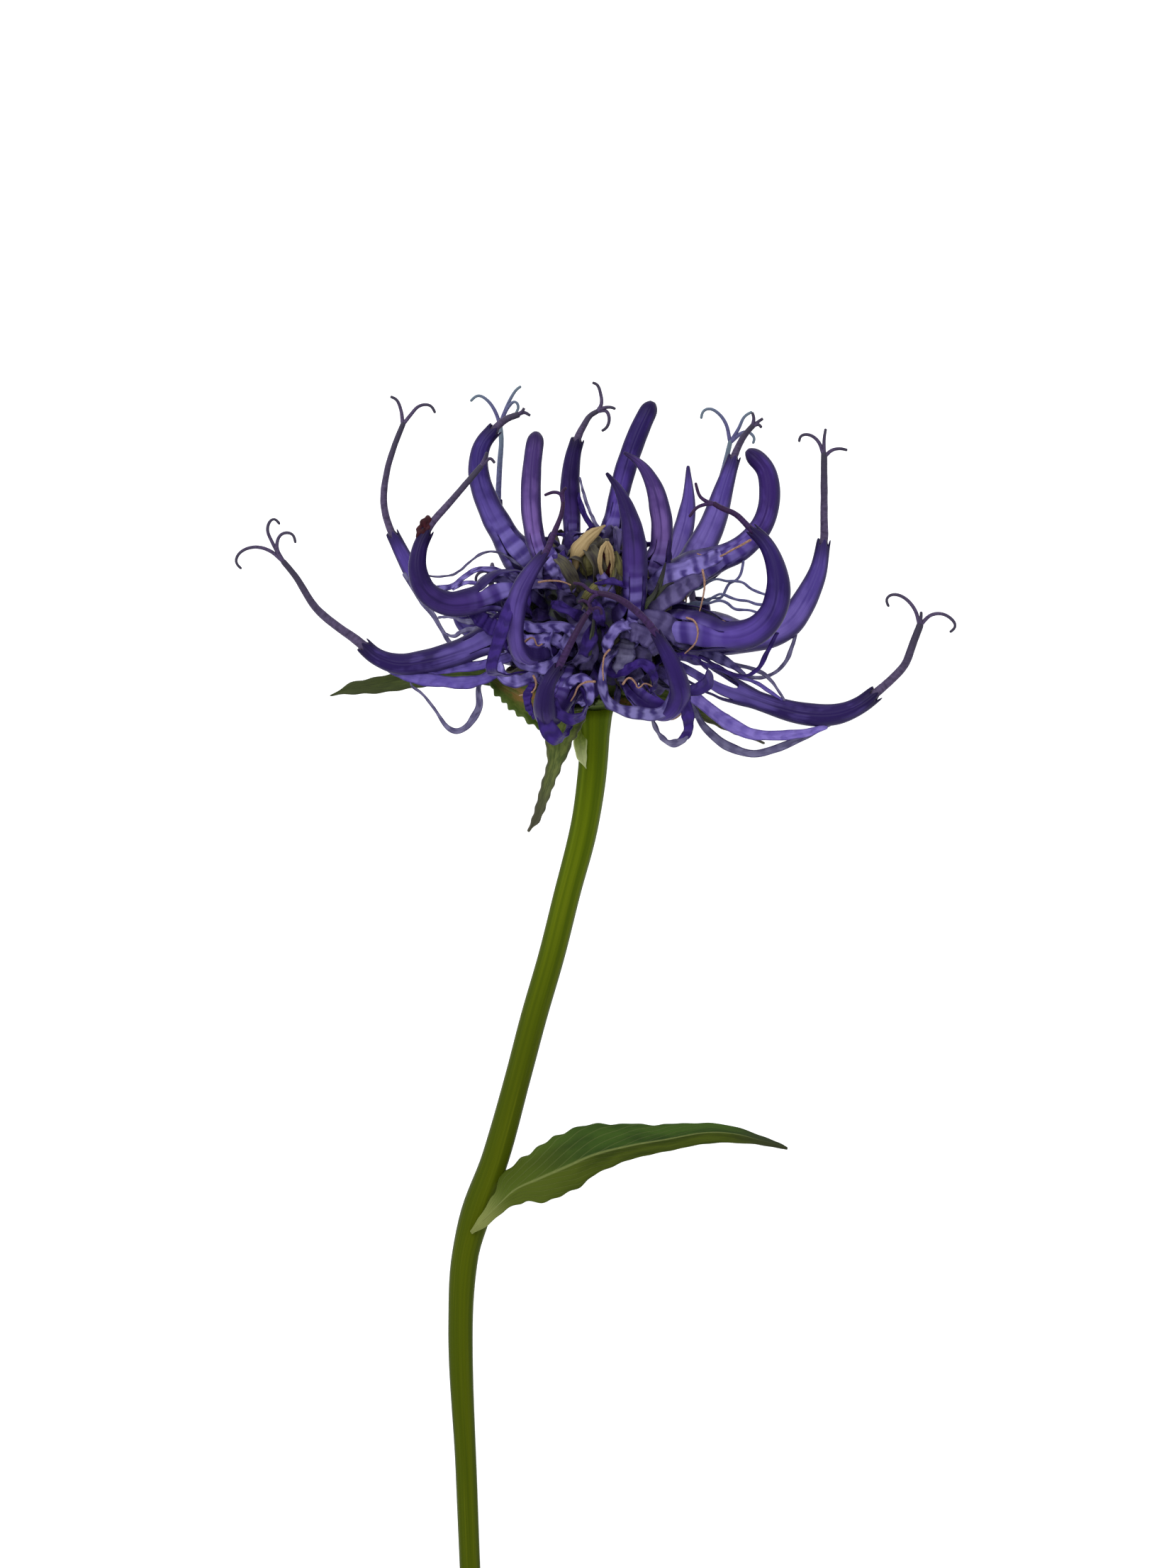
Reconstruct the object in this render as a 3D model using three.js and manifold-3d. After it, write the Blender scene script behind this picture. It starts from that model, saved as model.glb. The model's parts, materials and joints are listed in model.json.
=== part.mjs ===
// Round-headed rampion (Phyteuma orbiculare), one flowering stem cut and laid down on a flat surface.
// Millimetres. +Y runs from the cut stem towards the crown of the flower head, +X to the side of the
// stem leaf, +Z up from the surface. The origin is on the surface, right under the middle of the head.
//
// Four solids: the stem, its one leaf, the involucre of bracts, and the flower head.
// A floret is a corolla of narrow lobes that are free at the bottom, like the bars of a lantern, and
// joined above in a curved horn. Its style comes out of the horn's mouth and forks in curled stigmas.
import * as THREE from "three";
import { mergeVertices } from "three/addons/utils/BufferGeometryUtils.js";
import Module from "manifold-3d";

const wasm = await Module();
wasm.setup();

// ---------------------------------------------------------------- driving dimensions
const HEAD_HEIGHT = 11; // the head's middle above the surface
const CORE = { radius: 4.1, squash: 0.92 }; // the packed ovaries and calyces, under the florets
const GAP = 0.3; // between bodies that meet
const INVOLUCRE = { radius: 2.3, thickness: 1.2, from: CORE.radius * CORE.squash + GAP }; // the green disc that carries the bracts
const ROOT_RADIUS = 3.2; // how far from the head's middle every floret and bud is rooted
const HORN = { neck: 0.66, belly: 0.7, mouth: 0.38, merge: 0.42 }; // radii, and where its lobes join
const LOBE = { halfWidth: 0.5, halfThickness: 0.3, bulge: 1.0 };
const STYLE = { foot: 0.36, tip: 0.26 };
const STIGMA = { radius: 0.24, size: 1.15 };
const BLADE_THICKNESS = 0.6;
const JOIN_TOLERANCE = 0.01; // where pieces are joined, edges shorter than this close up

// The axis of the head leans a little up from the surface, as the stem does.
const AXIS = new THREE.Vector3(-0.03, 0.975, 0.22).normalize();
const SIDE = new THREE.Vector3(1, 0, 0).addScaledVector(AXIS, -AXIS.x).normalize();
const FRONT = new THREE.Vector3().crossVectors(SIDE, AXIS); // away from the surface

// A small generator of repeatable random numbers from 0 to 1.
function seeded(seed) {
  return () => {
    seed = (seed + 0x6d2b79f5) | 0;
    let mixed = Math.imul(seed ^ (seed >>> 15), 1 | seed);
    mixed = (mixed + Math.imul(mixed ^ (mixed >>> 7), 61 | mixed)) ^ mixed;
    return ((mixed ^ (mixed >>> 14)) >>> 0) / 4294967296;
  };
}

// ---------------------------------------------------------------- florets, from the head's middle
// corolla: its axis from the root to the mouth. style: its axis from the mouth to the fork; a floret
// with none is still a closed horn. forks: the sizes of the stigmas to the left, right and front.
const FLORETS = [
  { corolla: [[-3.7, -0.5, 1.0], [-6.2, -0.9, 1.8], [-9.3, -2.1, 2.2], [-12.2, -2.6, 2.3], [-14.6, -1.3, 2.3]],
    style: [[-17.4, 0.9, 2.4], [-18.7, 2.9, 2.6], [-19.6, 4.0, 2.8]], forks: [1.7, 1.2, 1.2], lobes: 2 },
  { corolla: [[-3.3, -0.6, -2.5], [-6.3, 1.4, -3.8], [-8.9, 1.5, -4.4], [-11.3, 3.1, -4.5], [-12.9, 6.0, -4.2]],
    style: [[-13.3, 7.7, -4.1], [-13.1, 9.8, -4.0], [-12.0, 13.0, -4.0]], forks: [0.9, 1.3], lobes: 2 },
  { corolla: [[-3.6, 0.6, 2.5], [-5.8, 1.9, 3.6], [-9.2, 1.2, 5.1], [-10.4, 1.9, 5.3], [-11.2, 4.5, 5.4], [-10.5, 5.9, 5.3]],
    style: [[-8.8, 7.7, 5.4], [-6.9, 9.9, 5.6]], forks: [0.5, 0.6], lobes: 3 },
  { corolla: [[-2.7, 1.3, -0.5], [-4.2, 3.4, -0.5], [-5.4, 5.4, -0.3], [-7.2, 9.6, 0], [-7.0, 11.3, 0], [-6.0, 12.5, 0]],
    style: [[-5.4, 13.0, 0.1], [-4.6, 13.3, 0.2]], forks: [0.4, 0.8], lobes: 2 },
  { corolla: [[-2.5, 1.6, -3], [-4.5, 3.6, -4.5], [-5.9, 5.8, -5.3], [-6.0, 8.1, -5.2]],
    style: [[-5.9, 10.3, -5.1], [-5.8, 11.9, -5], [-5.9, 13.0, -5]], forks: [1.4, 1.3, 0.8], lobes: 2 },
  { corolla: [[-1.7, 1.3, 1.5], [-2.7, 3.1, 2.5], [-3.5, 5.0, 3.2], [-3.9, 8.4, 3.5], [-3.5, 12.1, 2.8]], lobes: 2 },
  { corolla: [[-0.6, 1.8, -1.5], [-1.2, 4.5, -2.2], [-1.4, 8.0, -2.5], [-0.9, 11.9, -2.3]],
    style: [[-0.5, 12.7, -2.2], [0.4, 13.6, -2.1]], forks: [1.1, 0.9, 0.8], lobes: 2 },
  { corolla: [[0.7, 1.9, -1], [1.1, 5.2, -1.8], [2.0, 9.0, -2], [3.0, 12.1, -2], [4.0, 14.1, -2]], lobes: 2 },
  { corolla: [[2.2, 1.3, 1.5], [3.8, 3.2, 2.2], [4.4, 5.2, 2.8], [4.1, 8.0, 3], [2.0, 10.8, 2.6]], lobes: 2 },
  { corolla: [[2.0, -0.4, 3.2], [2.6, 1.1, 5], [2.7, 4.2, 6.2], [2.2, 7.1, 6.2], [0.9, 9.4, 5.8]], lobes: 3 },
  { corolla: [[2.5, 1.3, -3], [4.9, 3.7, -4], [5.7, 6.6, -4.4], [6.2, 9.5, -4.3]], lobes: 2 },
  { corolla: [[3.1, 0.9, -1], [5.7, 2.9, -1.6], [7.4, 6.0, -1.8], [9.1, 10.8, -1.8]],
    style: [[9.7, 12.0, -1.7], [10.3, 12.7, -1.6]], forks: [0.5, 0.5], lobes: 2 },
  { corolla: [[2.9, 1.3, -3.6], [5.8, 3.4, -5.2], [7.5, 6.4, -5.9], [8.2, 9.0, -6]],
    style: [[8.6, 10.6, -5.9], [8.9, 11.9, -5.8]], forks: [1.5, 1.1, 1.0], lobes: 2 },
  { corolla: [[3.1, 1.0, 0.6], [5.4, 2.9, 0.8], [8.6, 4.3, 1.1], [10.8, 6.3, 1.3], [11.4, 8.6, 1.3], [9.9, 11.0, 1.1]],
    lobes: 2 },
  { corolla: [[3.8, 0.0, 3], [6.5, -0.4, 4.4], [8.6, -0.8, 5.2], [11.3, 0.5, 6.1], [11.7, 3.5, 6.2], [10.0, 6.0, 5.8]],
    style: [[9.0, 6.8, 5.8], [7.6, 7.5, 5.8]], forks: [1.2, 1.1], lobes: 3 },
  { corolla: [[3.6, -0.7, -0.6], [7.4, -0.7, -1.4], [11.0, -0.6, -2.0], [13.6, 1.6, -2.4], [14.8, 5.5, -2.5]],
    style: [[14.8, 8.0, -2.5], [14.8, 11.0, -2.4]], forks: [1.2, 1.0, 0.9], lobes: 2 },
  { corolla: [[3.8, -1.6, 0.5], [6.3, -2.4, 0.9], [10.0, -4.3, 1.5], [14.0, -5.6, 1.9], [18.1, -4.3, 2.0]],
    style: [[19.8, -2.6, 2.1], [20.8, 0.0, 2.3]], forks: [1.6, 1.4], lobes: 2 },
  { corolla: [[-1.3, -0.4, 3.5], [-3.3, -2.0, 5.6], [-4.9, -1.7, 7.8], [-5.1, 0.5, 8.8], [-2.9, 4.3, 8.4]],
    style: [[-2.4, 5.5, 8.3], [-1.8, 7.6, 8.1]], forks: [0.9, 0.4], lobes: 2 },
  { corolla: [[2.0, -2.5, 3.8], [3.1, -4.7, 5], [4.9, -5.4, 6.9], [5.4, -3.6, 8.5], [3.9, -0.6, 9.1]],
    style: [[2.7, 0.7, 9.2], [0.3, 1.8, 9.0]], forks: [0.6, 0.7], lobes: 2 },
  { corolla: [[-0.9, -2.7, 3.6], [-1.8, -4.7, 5], [-2.9, -5.7, 6.9], [-2.8, -4.0, 8.4], [-2.0, -2.7, 8.6]],
    style: [[-1.6, -1.9, 8.8], [-0.3, 0.5, 8.8]], forks: [0.5, 0.5], lobes: 2 },
];

// The florets on the surface's side fan out by a rule. Each is given as an angle round the head's axis
// (270 is straight at the surface), its reach from the axis, how far it sags, and its height at the
// mouth. Some are still closed.
const UNDER_FLORETS = [
  { angle: 204, reach: 9.4, sag: -1.2, rise: 1.4, closed: true },
  { angle: 220, reach: 9.0, sag: -1.2, rise: 1.6, closed: true },
  { angle: 234, reach: 12.4, sag: -3.4, rise: -0.6 },
  { angle: 253, reach: 10.0, sag: -1.8, rise: 0.6 },
  { angle: 270, reach: 11.2, sag: -3.2, rise: 0.2 },
  { angle: 288, reach: 10.0, sag: -1.6, rise: 0.8 },
  { angle: 305, reach: 12.4, sag: -3.4, rise: -0.6 },
  { angle: 327, reach: 9.4, sag: -1.8, rise: 1.2, closed: true },
];

// Lobes that hang free in a loop, from where they leave a horn back to the head: half-width last.
const LOOSE_LOBES = [
  [[-11.4, -3.2, 2.0], [-10.2, -5.2, 1.9], [-8.8, -6.8, 1.7], [-7.5, -6.2, 1.5], [-7.0, -4.2, 1.4], [-5.0, -2.4, 1.2], 0.3],
  [[5.0, -3.9, 1.4], [6.9, -4.9, 2.6], [8.6, -6.0, 2.9], [10.3, -6.8, 2.8], [12.6, -7.0, 2.4], [15.8, -5.7, 2.0], 0.45],
  [[4.6, -4.0, 0.2], [7.1, -6.6, 0.9], [9.3, -8.2, 1.3], [12.2, -7.7, 1.6], [15.6, -6.0, 1.9], 0.3],
  [[5.5, -4.3, 7.9], [5.9, -6.4, 7.0], [5.3, -7.5, 6.0], [4.2, -6.8, 5.0], [3.4, -4.8, 4.2], [2.2, -2.4, 3.6], 0.4],
  [[5.0, -4.6, 7.6], [4.0, -5.7, 6.9], [2.4, -5.7, 6.3], [0.9, -4.7, 5.6], [0.7, -3.0, 4.7], [0.8, -1.4, 3.6], 0.5],
  [[5.6, -4.2, 7.6], [6.8, -4.1, 7.0], [7.5, -3.2, 6.2], [6.6, -2.3, 5.2], [4.2, -1.6, 3.6], 0.4],
  [[-2.9, -5.6, 7.0], [-2.7, -6.9, 6.4], [-1.8, -7.2, 5.6], [-1.4, -5.6, 4.6], [-1.0, -3.0, 3.6], 0.4],
  [[-2.6, -5.2, 7.2], [-1.6, -6.0, 6.6], [-0.5, -5.7, 5.8], [-0.7, -4.2, 4.6], [-0.4, -2.4, 3.6], 0.4],
  [[-4.9, 1.2, 8.9], [-5.8, -0.8, 8.8], [-6.2, -2.8, 8.1], [-4.6, -3.2, 6.4], [-2.6, -1.9, 4.0], 0.4],
  [[-12.9, -2.9, 2.2], [-11.2, -3.45, 2.3], [-9.6, -3.65, 2.2], [-8.2, -3.7, 2.1], [-5.0, -2.4, 1.4], 0.4],
  [[-9.7, 2.3, 4.9], [-8.8, 2.25, 4.6], [-7.3, 3.35, 3.6], [-4.0, 2.4, 2.2], 0.3],
  [[-11.7, 3.3, -4.2], [-10.0, 0.5, -3.8], [-8.85, -1.3, -2.6], [-5.0, -1.3, 0], 0.3],
  [[13.4, 0.6, -2.2], [12.4, -2.1, -1.2], [11.0, -3.0, -0.4], [8.0, -1.9, 0.3], [4.2, -0.6, 1.2], 0.3],
];

// ---------------------------------------------------------------- green parts
// The stem's axis, from the involucre to the cut: position and radius. Heights are above the surface.
const STEM = [
  [0.2, -6.2, 9.6, 1.0], [0.4, -7.4, 9.3, 0.92], [0.1, -9.2, 8.9, 0.92], [-0.5, -12.9, 8.2, 0.86],
  [-1.6, -17.2, 7.4, 0.84], [-2.6, -21.2, 6.7, 0.84], [-4.7, -28.8, 5.3, 0.83], [-6.2, -34.2, 4.5, 0.87],
  [-7.4, -37.6, 4.0, 0.94], [-8.15, -40.5, 3.5, 0.84], [-8.45, -45.0, 2.9, 0.77], [-8.1, -54.5, 1.7, 0.67],
  [-7.85, -61.0, 1.0, 0.64], [-7.4, -71.0, 0.5, 0.62],
];
const STEM_STEPS = 30;

// The leaf's midrib and its half-widths on the upper and the lower side. Heights are above the surface.
const LEAF = [
  [-7.3, -38.2, 5.7, 0.45, 0.4], [-6.0, -37.1, 5.85, 0.65, 0.5], [-4.3, -35.9, 5.9, 1.55, 0.95], [-2.25, -35.0, 5.7, 1.95, 1.27],
  [-0.2, -34.15, 5.4, 2.05, 0.85], [1.9, -33.55, 5.0, 1.75, 0.57], [4.1, -33.15, 4.6, 1.25, 0.47], [6.25, -32.8, 4.2, 0.88, 0.45],
  [8.4, -32.65, 3.85, 0.62, 0.43], [10.5, -33.05, 3.4, 0.4, 0.25], [12.6, -33.6, 3.0, 0.12, 0.12],
];

// Bracts, from the head's middle: midrib from the disc to the tip, greatest half-width, how far along
// it is widest, and the direction that the blade faces.
const BRACTS = [
  { midrib: [[-0.9, -4.7, -1.5], [-4.9, -3.8, -2.5], [-9.0, -3.4, -2.8], [-13.0, -3.8, -2.4], [-16.7, -4.6, -1.8]],
    halfWidth: 0.65, widest: 0.45, faces: [0, 0.4, 0.9] },
  { midrib: [[-0.7, -4.8, -0.7], [-3.2, -5.0, -0.5], [-5.4, -4.3, -0.6], [-7.2, -3.6, -0.8]],
    halfWidth: 1.6, widest: 0.4, faces: [0.1, 0.3, 0.95] },
  { midrib: [[-0.3, -4.9, -0.1], [-1.7, -7.0, 1.3], [-2.3, -9.4, 1.9], [-3.0, -11.4, 2.0], [-4.0, -13.4, 1.8]],
    halfWidth: 1.05, widest: 0.22, faces: [0.35, 0.1, 0.9] },
  { midrib: [[1.0, -4.8, -0.8], [4.0, -5.0, -0.9], [7.5, -5.9, -0.8], [11.1, -7.6, -0.6]],
    halfWidth: 0.85, widest: 0.35, faces: [0, 0.6, 0.8] },
  { midrib: [[-0.2, -4.9, 0.6], [-0.9, -5.4, 2.4], [-1.1, -5.4, 3.9]], halfWidth: 0.9, widest: 0.4, faces: [0, 1, 0.2] },
  { midrib: [[1.0, -4.8, 0.5], [2.3, -5.2, 2.0], [3.2, -5.4, 3.3]], halfWidth: 1.0, widest: 0.4, faces: [0, 1, 0.3] },
  { midrib: [[-0.7, -4.4, -2.2], [-2.4, -5.2, -4.6], [-3.6, -5.2, -6.6], [-4.4, -5.4, -8.4]],
    halfWidth: 1.1, widest: 0.35, faces: [0.3, 0.9, -0.3] },
  { midrib: [[0.9, -4.4, -2.2], [2.6, -5.2, -4.4], [4.2, -5.4, -6.2], [5.4, -5.8, -7.8]],
    halfWidth: 1.1, widest: 0.35, faces: [-0.3, 0.9, -0.3] },
];

// Dry, straw-coloured buds that stand in the crown: axis and greatest radius, from the head's middle.
const DRY_BUDS = [
  [[-1.2, 3.0, 2.9], [-0.6, 4.9, 3.2], [0.9, 6.5, 2.8], 0.62],
  [[0.7, 2.4, 3.3], [1.0, 3.9, 3.7], [1.1, 5.5, 3.5], 0.62],
  [[-0.3, 2.6, 3.3], [-0.2, 3.8, 3.8], [0.1, 4.8, 3.9], 0.5],
];

// ---------------------------------------------------------------- making closed meshes
const vectors = (rows) => rows.map(([x, y, z]) => new THREE.Vector3(x, y, z));

// The points at equal steps along a smooth curve, each with two directions across it.
function stationsAlong(points, steps) {
  const curve = new THREE.CatmullRomCurve3(points, false, "centripetal");
  const frames = curve.computeFrenetFrames(steps);
  return frames.normals.map((normal, i) => ({
    origin: curve.getPointAt(i / steps),
    across: normal,
    through: frames.binormals[i].clone().negate(),
    tangent: frames.tangents[i],
  }));
}

// A cylinder bent along the stations. sizeAt gives the half-widths across and through at a station.
function bentCylinder(stations, sides, sizeAt) {
  const steps = stations.length - 1;
  const geometry = new THREE.CylinderGeometry(1, 1, 1, sides, steps);
  const position = geometry.getAttribute("position");
  for (let i = 0; i < position.count; i++) {
    const step = Math.round((position.getY(i) + 0.5) * steps);
    const station = stations[step];
    const [halfAcross, halfThrough] = sizeAt(step / steps, step);
    const point = station.origin
      .clone()
      .addScaledVector(station.across, position.getX(i) * halfAcross)
      .addScaledVector(station.through, position.getZ(i) * halfThrough);
    position.setXYZ(i, point.x, point.y, point.z);
  }
  return geometry;
}

// A blade of even thickness: a plane bent to the rows of points of its upper face, and closed below.
function thickBlade(rows, normals) {
  const along = rows.length - 1;
  const across = rows[0].length - 1;
  const sheet = new THREE.PlaneGeometry(1, 1, across, along).index.array;
  const corners = (along + 1) * (across + 1);
  const half = BLADE_THICKNESS / 2;
  const flat = rows.flat();
  const facing = normals.flat();
  const upper = flat.map((p, i) => p.clone().addScaledVector(facing[i], half));
  const lower = flat.map((p, i) => p.clone().addScaledVector(facing[i], -half));
  const index = [];
  for (let i = 0; i < sheet.length; i += 3) {
    const [a, b, c] = [sheet[i], sheet[i + 1], sheet[i + 2]];
    index.push(a, b, c, corners + a, corners + c, corners + b);
  }
  const rim = [];
  for (let j = 0; j < across; j++) rim.push(j);
  for (let i = 0; i < along; i++) rim.push(i * (across + 1) + across);
  for (let j = across; j > 0; j--) rim.push(along * (across + 1) + j);
  for (let i = along; i > 0; i--) rim.push(i * (across + 1));
  rim.forEach((a, k) => {
    const b = rim[(k + 1) % rim.length];
    index.push(a, b, corners + b, a, corners + b, corners + a);
  });
  const positions = [...upper, ...lower].flatMap((p) => [p.x, p.y, p.z]);
  return new THREE.BufferGeometry()
    .setAttribute("position", new THREE.Float32BufferAttribute(positions, 3))
    .setIndex(index);
}

function solid(geometry) {
  geometry.deleteAttribute("normal");
  geometry.deleteAttribute("uv");
  const merged = mergeVertices(geometry, 1e-4);
  const made = new wasm.Manifold(
    new wasm.Mesh({
      numProp: 3,
      vertProperties: merged.getAttribute("position").array,
      triVerts: new Uint32Array(merged.index.array),
      tolerance: JOIN_TOLERANCE,
    }),
  );
  if (made.volume() <= 0) throw new Error("a piece is inside out");
  return made;
}

function joined(solids) {
  while (solids.length > 1) {
    const pairs = [];
    for (let i = 0; i < solids.length; i += 2) pairs.push(solids[i + 1] ? solids[i].add(solids[i + 1]) : solids[i]);
    solids = pairs;
  }
  return solids[0];
}

function node(name, body, color, roughness) {
  const mesh = body.getMesh();
  const positions = new Float32Array(mesh.numVert * 3);
  for (let i = 0; i < mesh.numVert; i++) {
    const start = i * mesh.numProp;
    positions.set(mesh.vertProperties.subarray(start, start + 3), i * 3);
  }
  const geometry = new THREE.BufferGeometry()
    .setAttribute("position", new THREE.BufferAttribute(positions, 3))
    .setIndex(new THREE.BufferAttribute(mesh.triVerts, 1));
  geometry.computeVertexNormals();
  const made = new THREE.Mesh(geometry, new THREE.MeshStandardMaterial({ color, roughness, metalness: 0 }));
  made.name = name;
  return made;
}

// ---------------------------------------------------------------- a floret
// The free lobes at the foot of a corolla bow out from its axis and come together where the horn starts.
function freeLobes(axis, count) {
  const steps = 3;
  const solids = [];
  for (let k = 0; k < count; k++) {
    const turn = (k / count) * 2 * Math.PI + 0.6;
    const stations = [];
    for (let i = 0; i <= steps; i++) {
      const at = axis[Math.round((i / steps) * (axis.length - 1))];
      const out = at.across.clone().multiplyScalar(Math.cos(turn)).addScaledVector(at.through, Math.sin(turn));
      const aside = at.through.clone().multiplyScalar(Math.cos(turn)).addScaledVector(at.across, -Math.sin(turn));
      const offset = 0.3 + LOBE.bulge * Math.sin((Math.PI * i) / steps);
      stations.push({ origin: at.origin.clone().addScaledVector(out, offset), across: out, through: aside });
    }
    solids.push(solid(bentCylinder(stations, 4, () => [LOBE.halfThickness, LOBE.halfWidth])));
  }
  return solids;
}

// A stigma leaves the fork, arches over to one side and hooks back. size scales its reach.
function hookPoints(fork, forward, aside, size) {
  const hook = [[0.35, 0.85], [1.15, 1.0], [1.55, 0.35]];
  return hook.map(([out, up]) => fork.clone().addScaledVector(aside, out * size).addScaledVector(forward, up * size));
}

function stigma(fork, forward, aside, size) {
  const points = [fork.clone().addScaledVector(forward, -0.3), ...hookPoints(fork, forward, aside, size)];
  return solid(bentCylinder(stationsAlong(points, 3), 3, () => [STIGMA.radius, STIGMA.radius]));
}

// One tube makes the horn, the style that comes out of its mouth, and the first of the stigmas.
function floret({ corolla, style = [], forks = [], lobes }) {
  const axis = vectors(corolla);
  axis[0].setLength(ROOT_RADIUS);
  const styled = vectors(style);
  const route = [...axis, ...styled];
  const fork = route.at(-1);
  const forward = fork.clone().sub(route.at(-2)).normalize();
  const right = new THREE.Vector3().crossVectors(forward, new THREE.Vector3(0, 0, 1)).normalize();
  const front = new THREE.Vector3().crossVectors(right, forward);
  if (styled.length) route.push(...hookPoints(fork, forward, right.clone().negate(), forks[0]));
  const fine = stationsAlong(route, 96);
  const stepNearest = (point) => {
    const distances = fine.map(({ origin }) => origin.distanceTo(point));
    return distances.indexOf(Math.min(...distances));
  };
  const mouth = stepNearest(axis.at(-1));
  const neck = Math.round(mouth * HORN.merge);
  const steps = [0, 0.25, 0.5, 0.75, 1].map((t) => Math.round(neck - 3 + (mouth - neck + 3) * t));
  const radii = [HORN.neck, HORN.belly, HORN.belly, 0.8 * HORN.belly, HORN.mouth];
  if (styled.length) {
    const forkStep = stepNearest(fork);
    steps.push(mouth + 1, Math.round((mouth + forkStep) / 2), forkStep);
    radii.push(STYLE.foot, 0.5 * (STYLE.foot + STYLE.tip), STYLE.tip);
    for (const t of [0.33, 0.67, 1]) {
      steps.push(Math.round(forkStep + (96 - forkStep) * t));
      radii.push(STIGMA.radius);
    }
  }
  const tube = bentCylinder(steps.map((i) => fine[i]), 5, (_, i) => [radii[i], radii[i]]);
  const solids = [solid(tube), ...freeLobes(fine.slice(0, neck + 1), lobes)];
  if (forks[1]) solids.push(stigma(fork, forward, right, forks[1]));
  if (forks[2]) solids.push(stigma(fork, forward, front, forks[2]));
  return solids;
}

// A floret on the surface's side, from its angle and reach, in the same form as the listed ones.
function underFloret({ angle, reach, sag, rise, closed }, random) {
  const turn = THREE.MathUtils.degToRad(angle);
  const away = SIDE.clone().multiplyScalar(Math.cos(turn)).addScaledVector(FRONT, Math.sin(turn));
  const at = (out, up) => new THREE.Vector3().addScaledVector(away, out).addScaledVector(AXIS, up).toArray();
  const corolla = [at(3.4, sag * 0.3), at(reach * 0.66, sag), at(reach * 0.93, sag + 0.5), at(reach, sag + 2.0), at(reach * 0.92, rise)];
  if (closed) return { corolla, lobes: 2 };
  return {
    corolla,
    style: [at(reach * 0.9, rise + 0.9), at(reach * 0.88, rise + 1.7)],
    forks: [0.8 * STIGMA.size, STIGMA.size * (0.7 + 0.2 * random())],
    lobes: 2,
  };
}

// ---------------------------------------------------------------- the flower head
// Short crumpled lobes and calyx teeth fill the head between the florets, spread by the golden angle.
function innerLobes(random) {
  const count = 18;
  const golden = Math.PI * (3 - Math.sqrt(5));
  const solids = [];
  for (let k = 0; k < count; k++) {
    const height = 0.85 - (1.45 * (k + 0.5)) / count; // along the axis, from the crown down
    const round = Math.sqrt(1 - height * height);
    const out = AXIS.clone().multiplyScalar(height)
      .addScaledVector(SIDE, round * Math.cos(k * golden))
      .addScaledVector(FRONT, round * Math.sin(k * golden));
    const reach = 6.0 + 0.9 * random();
    const curl = AXIS.clone().multiplyScalar(0.5 + 0.5 * random()).addScaledVector(SIDE, random() - 0.5);
    const points = [out.clone().multiplyScalar(3.2), out.clone().multiplyScalar(reach * 0.8).addScaledVector(curl, 0.3),
      out.clone().multiplyScalar(reach).addScaledVector(curl, 1.5)];
    const size = 0.42 + 0.2 * random();
    solids.push(solid(bentCylinder(stationsAlong(points, 2), 3, (t) => [size * (1.3 - 0.5 * t), 0.4])));
  }
  return solids;
}

function flowerHead() {
  const random = seeded(3);
  const core = new THREE.SphereGeometry(CORE.radius, 12, 9);
  core.scale(1, CORE.squash, 1);
  const under = UNDER_FLORETS.map((row) => underFloret(row, random));
  const loose = LOOSE_LOBES.map((row) => {
    const halfWidth = row.at(-1);
    const points = vectors(row.slice(0, -1));
    return solid(bentCylinder(stationsAlong(points, 5), 4, () => [halfWidth, 0.3]));
  });
  const buds = DRY_BUDS.map((row) => {
    const radius = row.at(-1);
    const bulb = (t) => radius * (0.35 + 0.65 * Math.sin(Math.PI * Math.min(1, 0.15 + 0.8 * t)));
    const points = vectors(row.slice(0, -1));
    points[0].setLength(ROOT_RADIUS);
    return solid(bentCylinder(stationsAlong(points, 4), 5, (t) => [bulb(t), bulb(t)]));
  });
  const florets = [...FLORETS, ...under].flatMap(floret);
  const head = joined([solid(core), ...florets, ...loose, ...innerLobes(random), ...buds]);
  return head.trimByPlane([0, 0, 1], -HEAD_HEIGHT); // what touches the surface lies flat on it
}

// ---------------------------------------------------------------- stem, leaf and bracts
function stem() {
  const curve = new THREE.CatmullRomCurve3(vectors(STEM), false, "centripetal");
  const stations = stationsAlong(vectors(STEM), STEM_STEPS);
  // The radius at a station is read between the two listed points that its height along +Y lies between.
  const radiusAt = (t) => {
    const y = curve.getPointAt(t).y;
    const next = Math.max(1, STEM.findIndex((row) => row[1] <= y + 1e-6));
    const [a, b] = [STEM[next - 1], STEM[next]];
    const share = THREE.MathUtils.clamp((a[1] - y) / (a[1] - b[1]), 0, 1);
    return a[3] + (b[3] - a[3]) * share;
  };
  return solid(bentCylinder(stations, 9, (t) => [radiusAt(t), radiusAt(t)])).trimByPlane([0, 0, 1], 0);
}

// A blade from its midrib: widths gives the half-widths on both sides, fold lifts the margins.
function leafBlade(midrib, steps, faces, widths, fold, wave) {
  const stations = stationsAlong(midrib, steps);
  const facing = new THREE.Vector3(...faces).normalize();
  const rows = [];
  const normals = [];
  stations.forEach(({ origin, tangent }, i) => {
    const t = i / steps;
    const aside = new THREE.Vector3().crossVectors(facing, tangent).normalize();
    const normal = new THREE.Vector3().crossVectors(tangent, aside).normalize();
    const [left, right] = widths(t);
    const row = [-1, -0.5, 0, 0.5, 1].map((x) => {
      const width = x < 0 ? right : left;
      return origin.clone().addScaledVector(aside, x * width).addScaledVector(normal, Math.abs(x) * width * fold + wave(t, x));
    });
    rows.push(row);
    normals.push(row.map(() => normal));
  });
  return solid(thickBlade(rows, normals));
}

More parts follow.
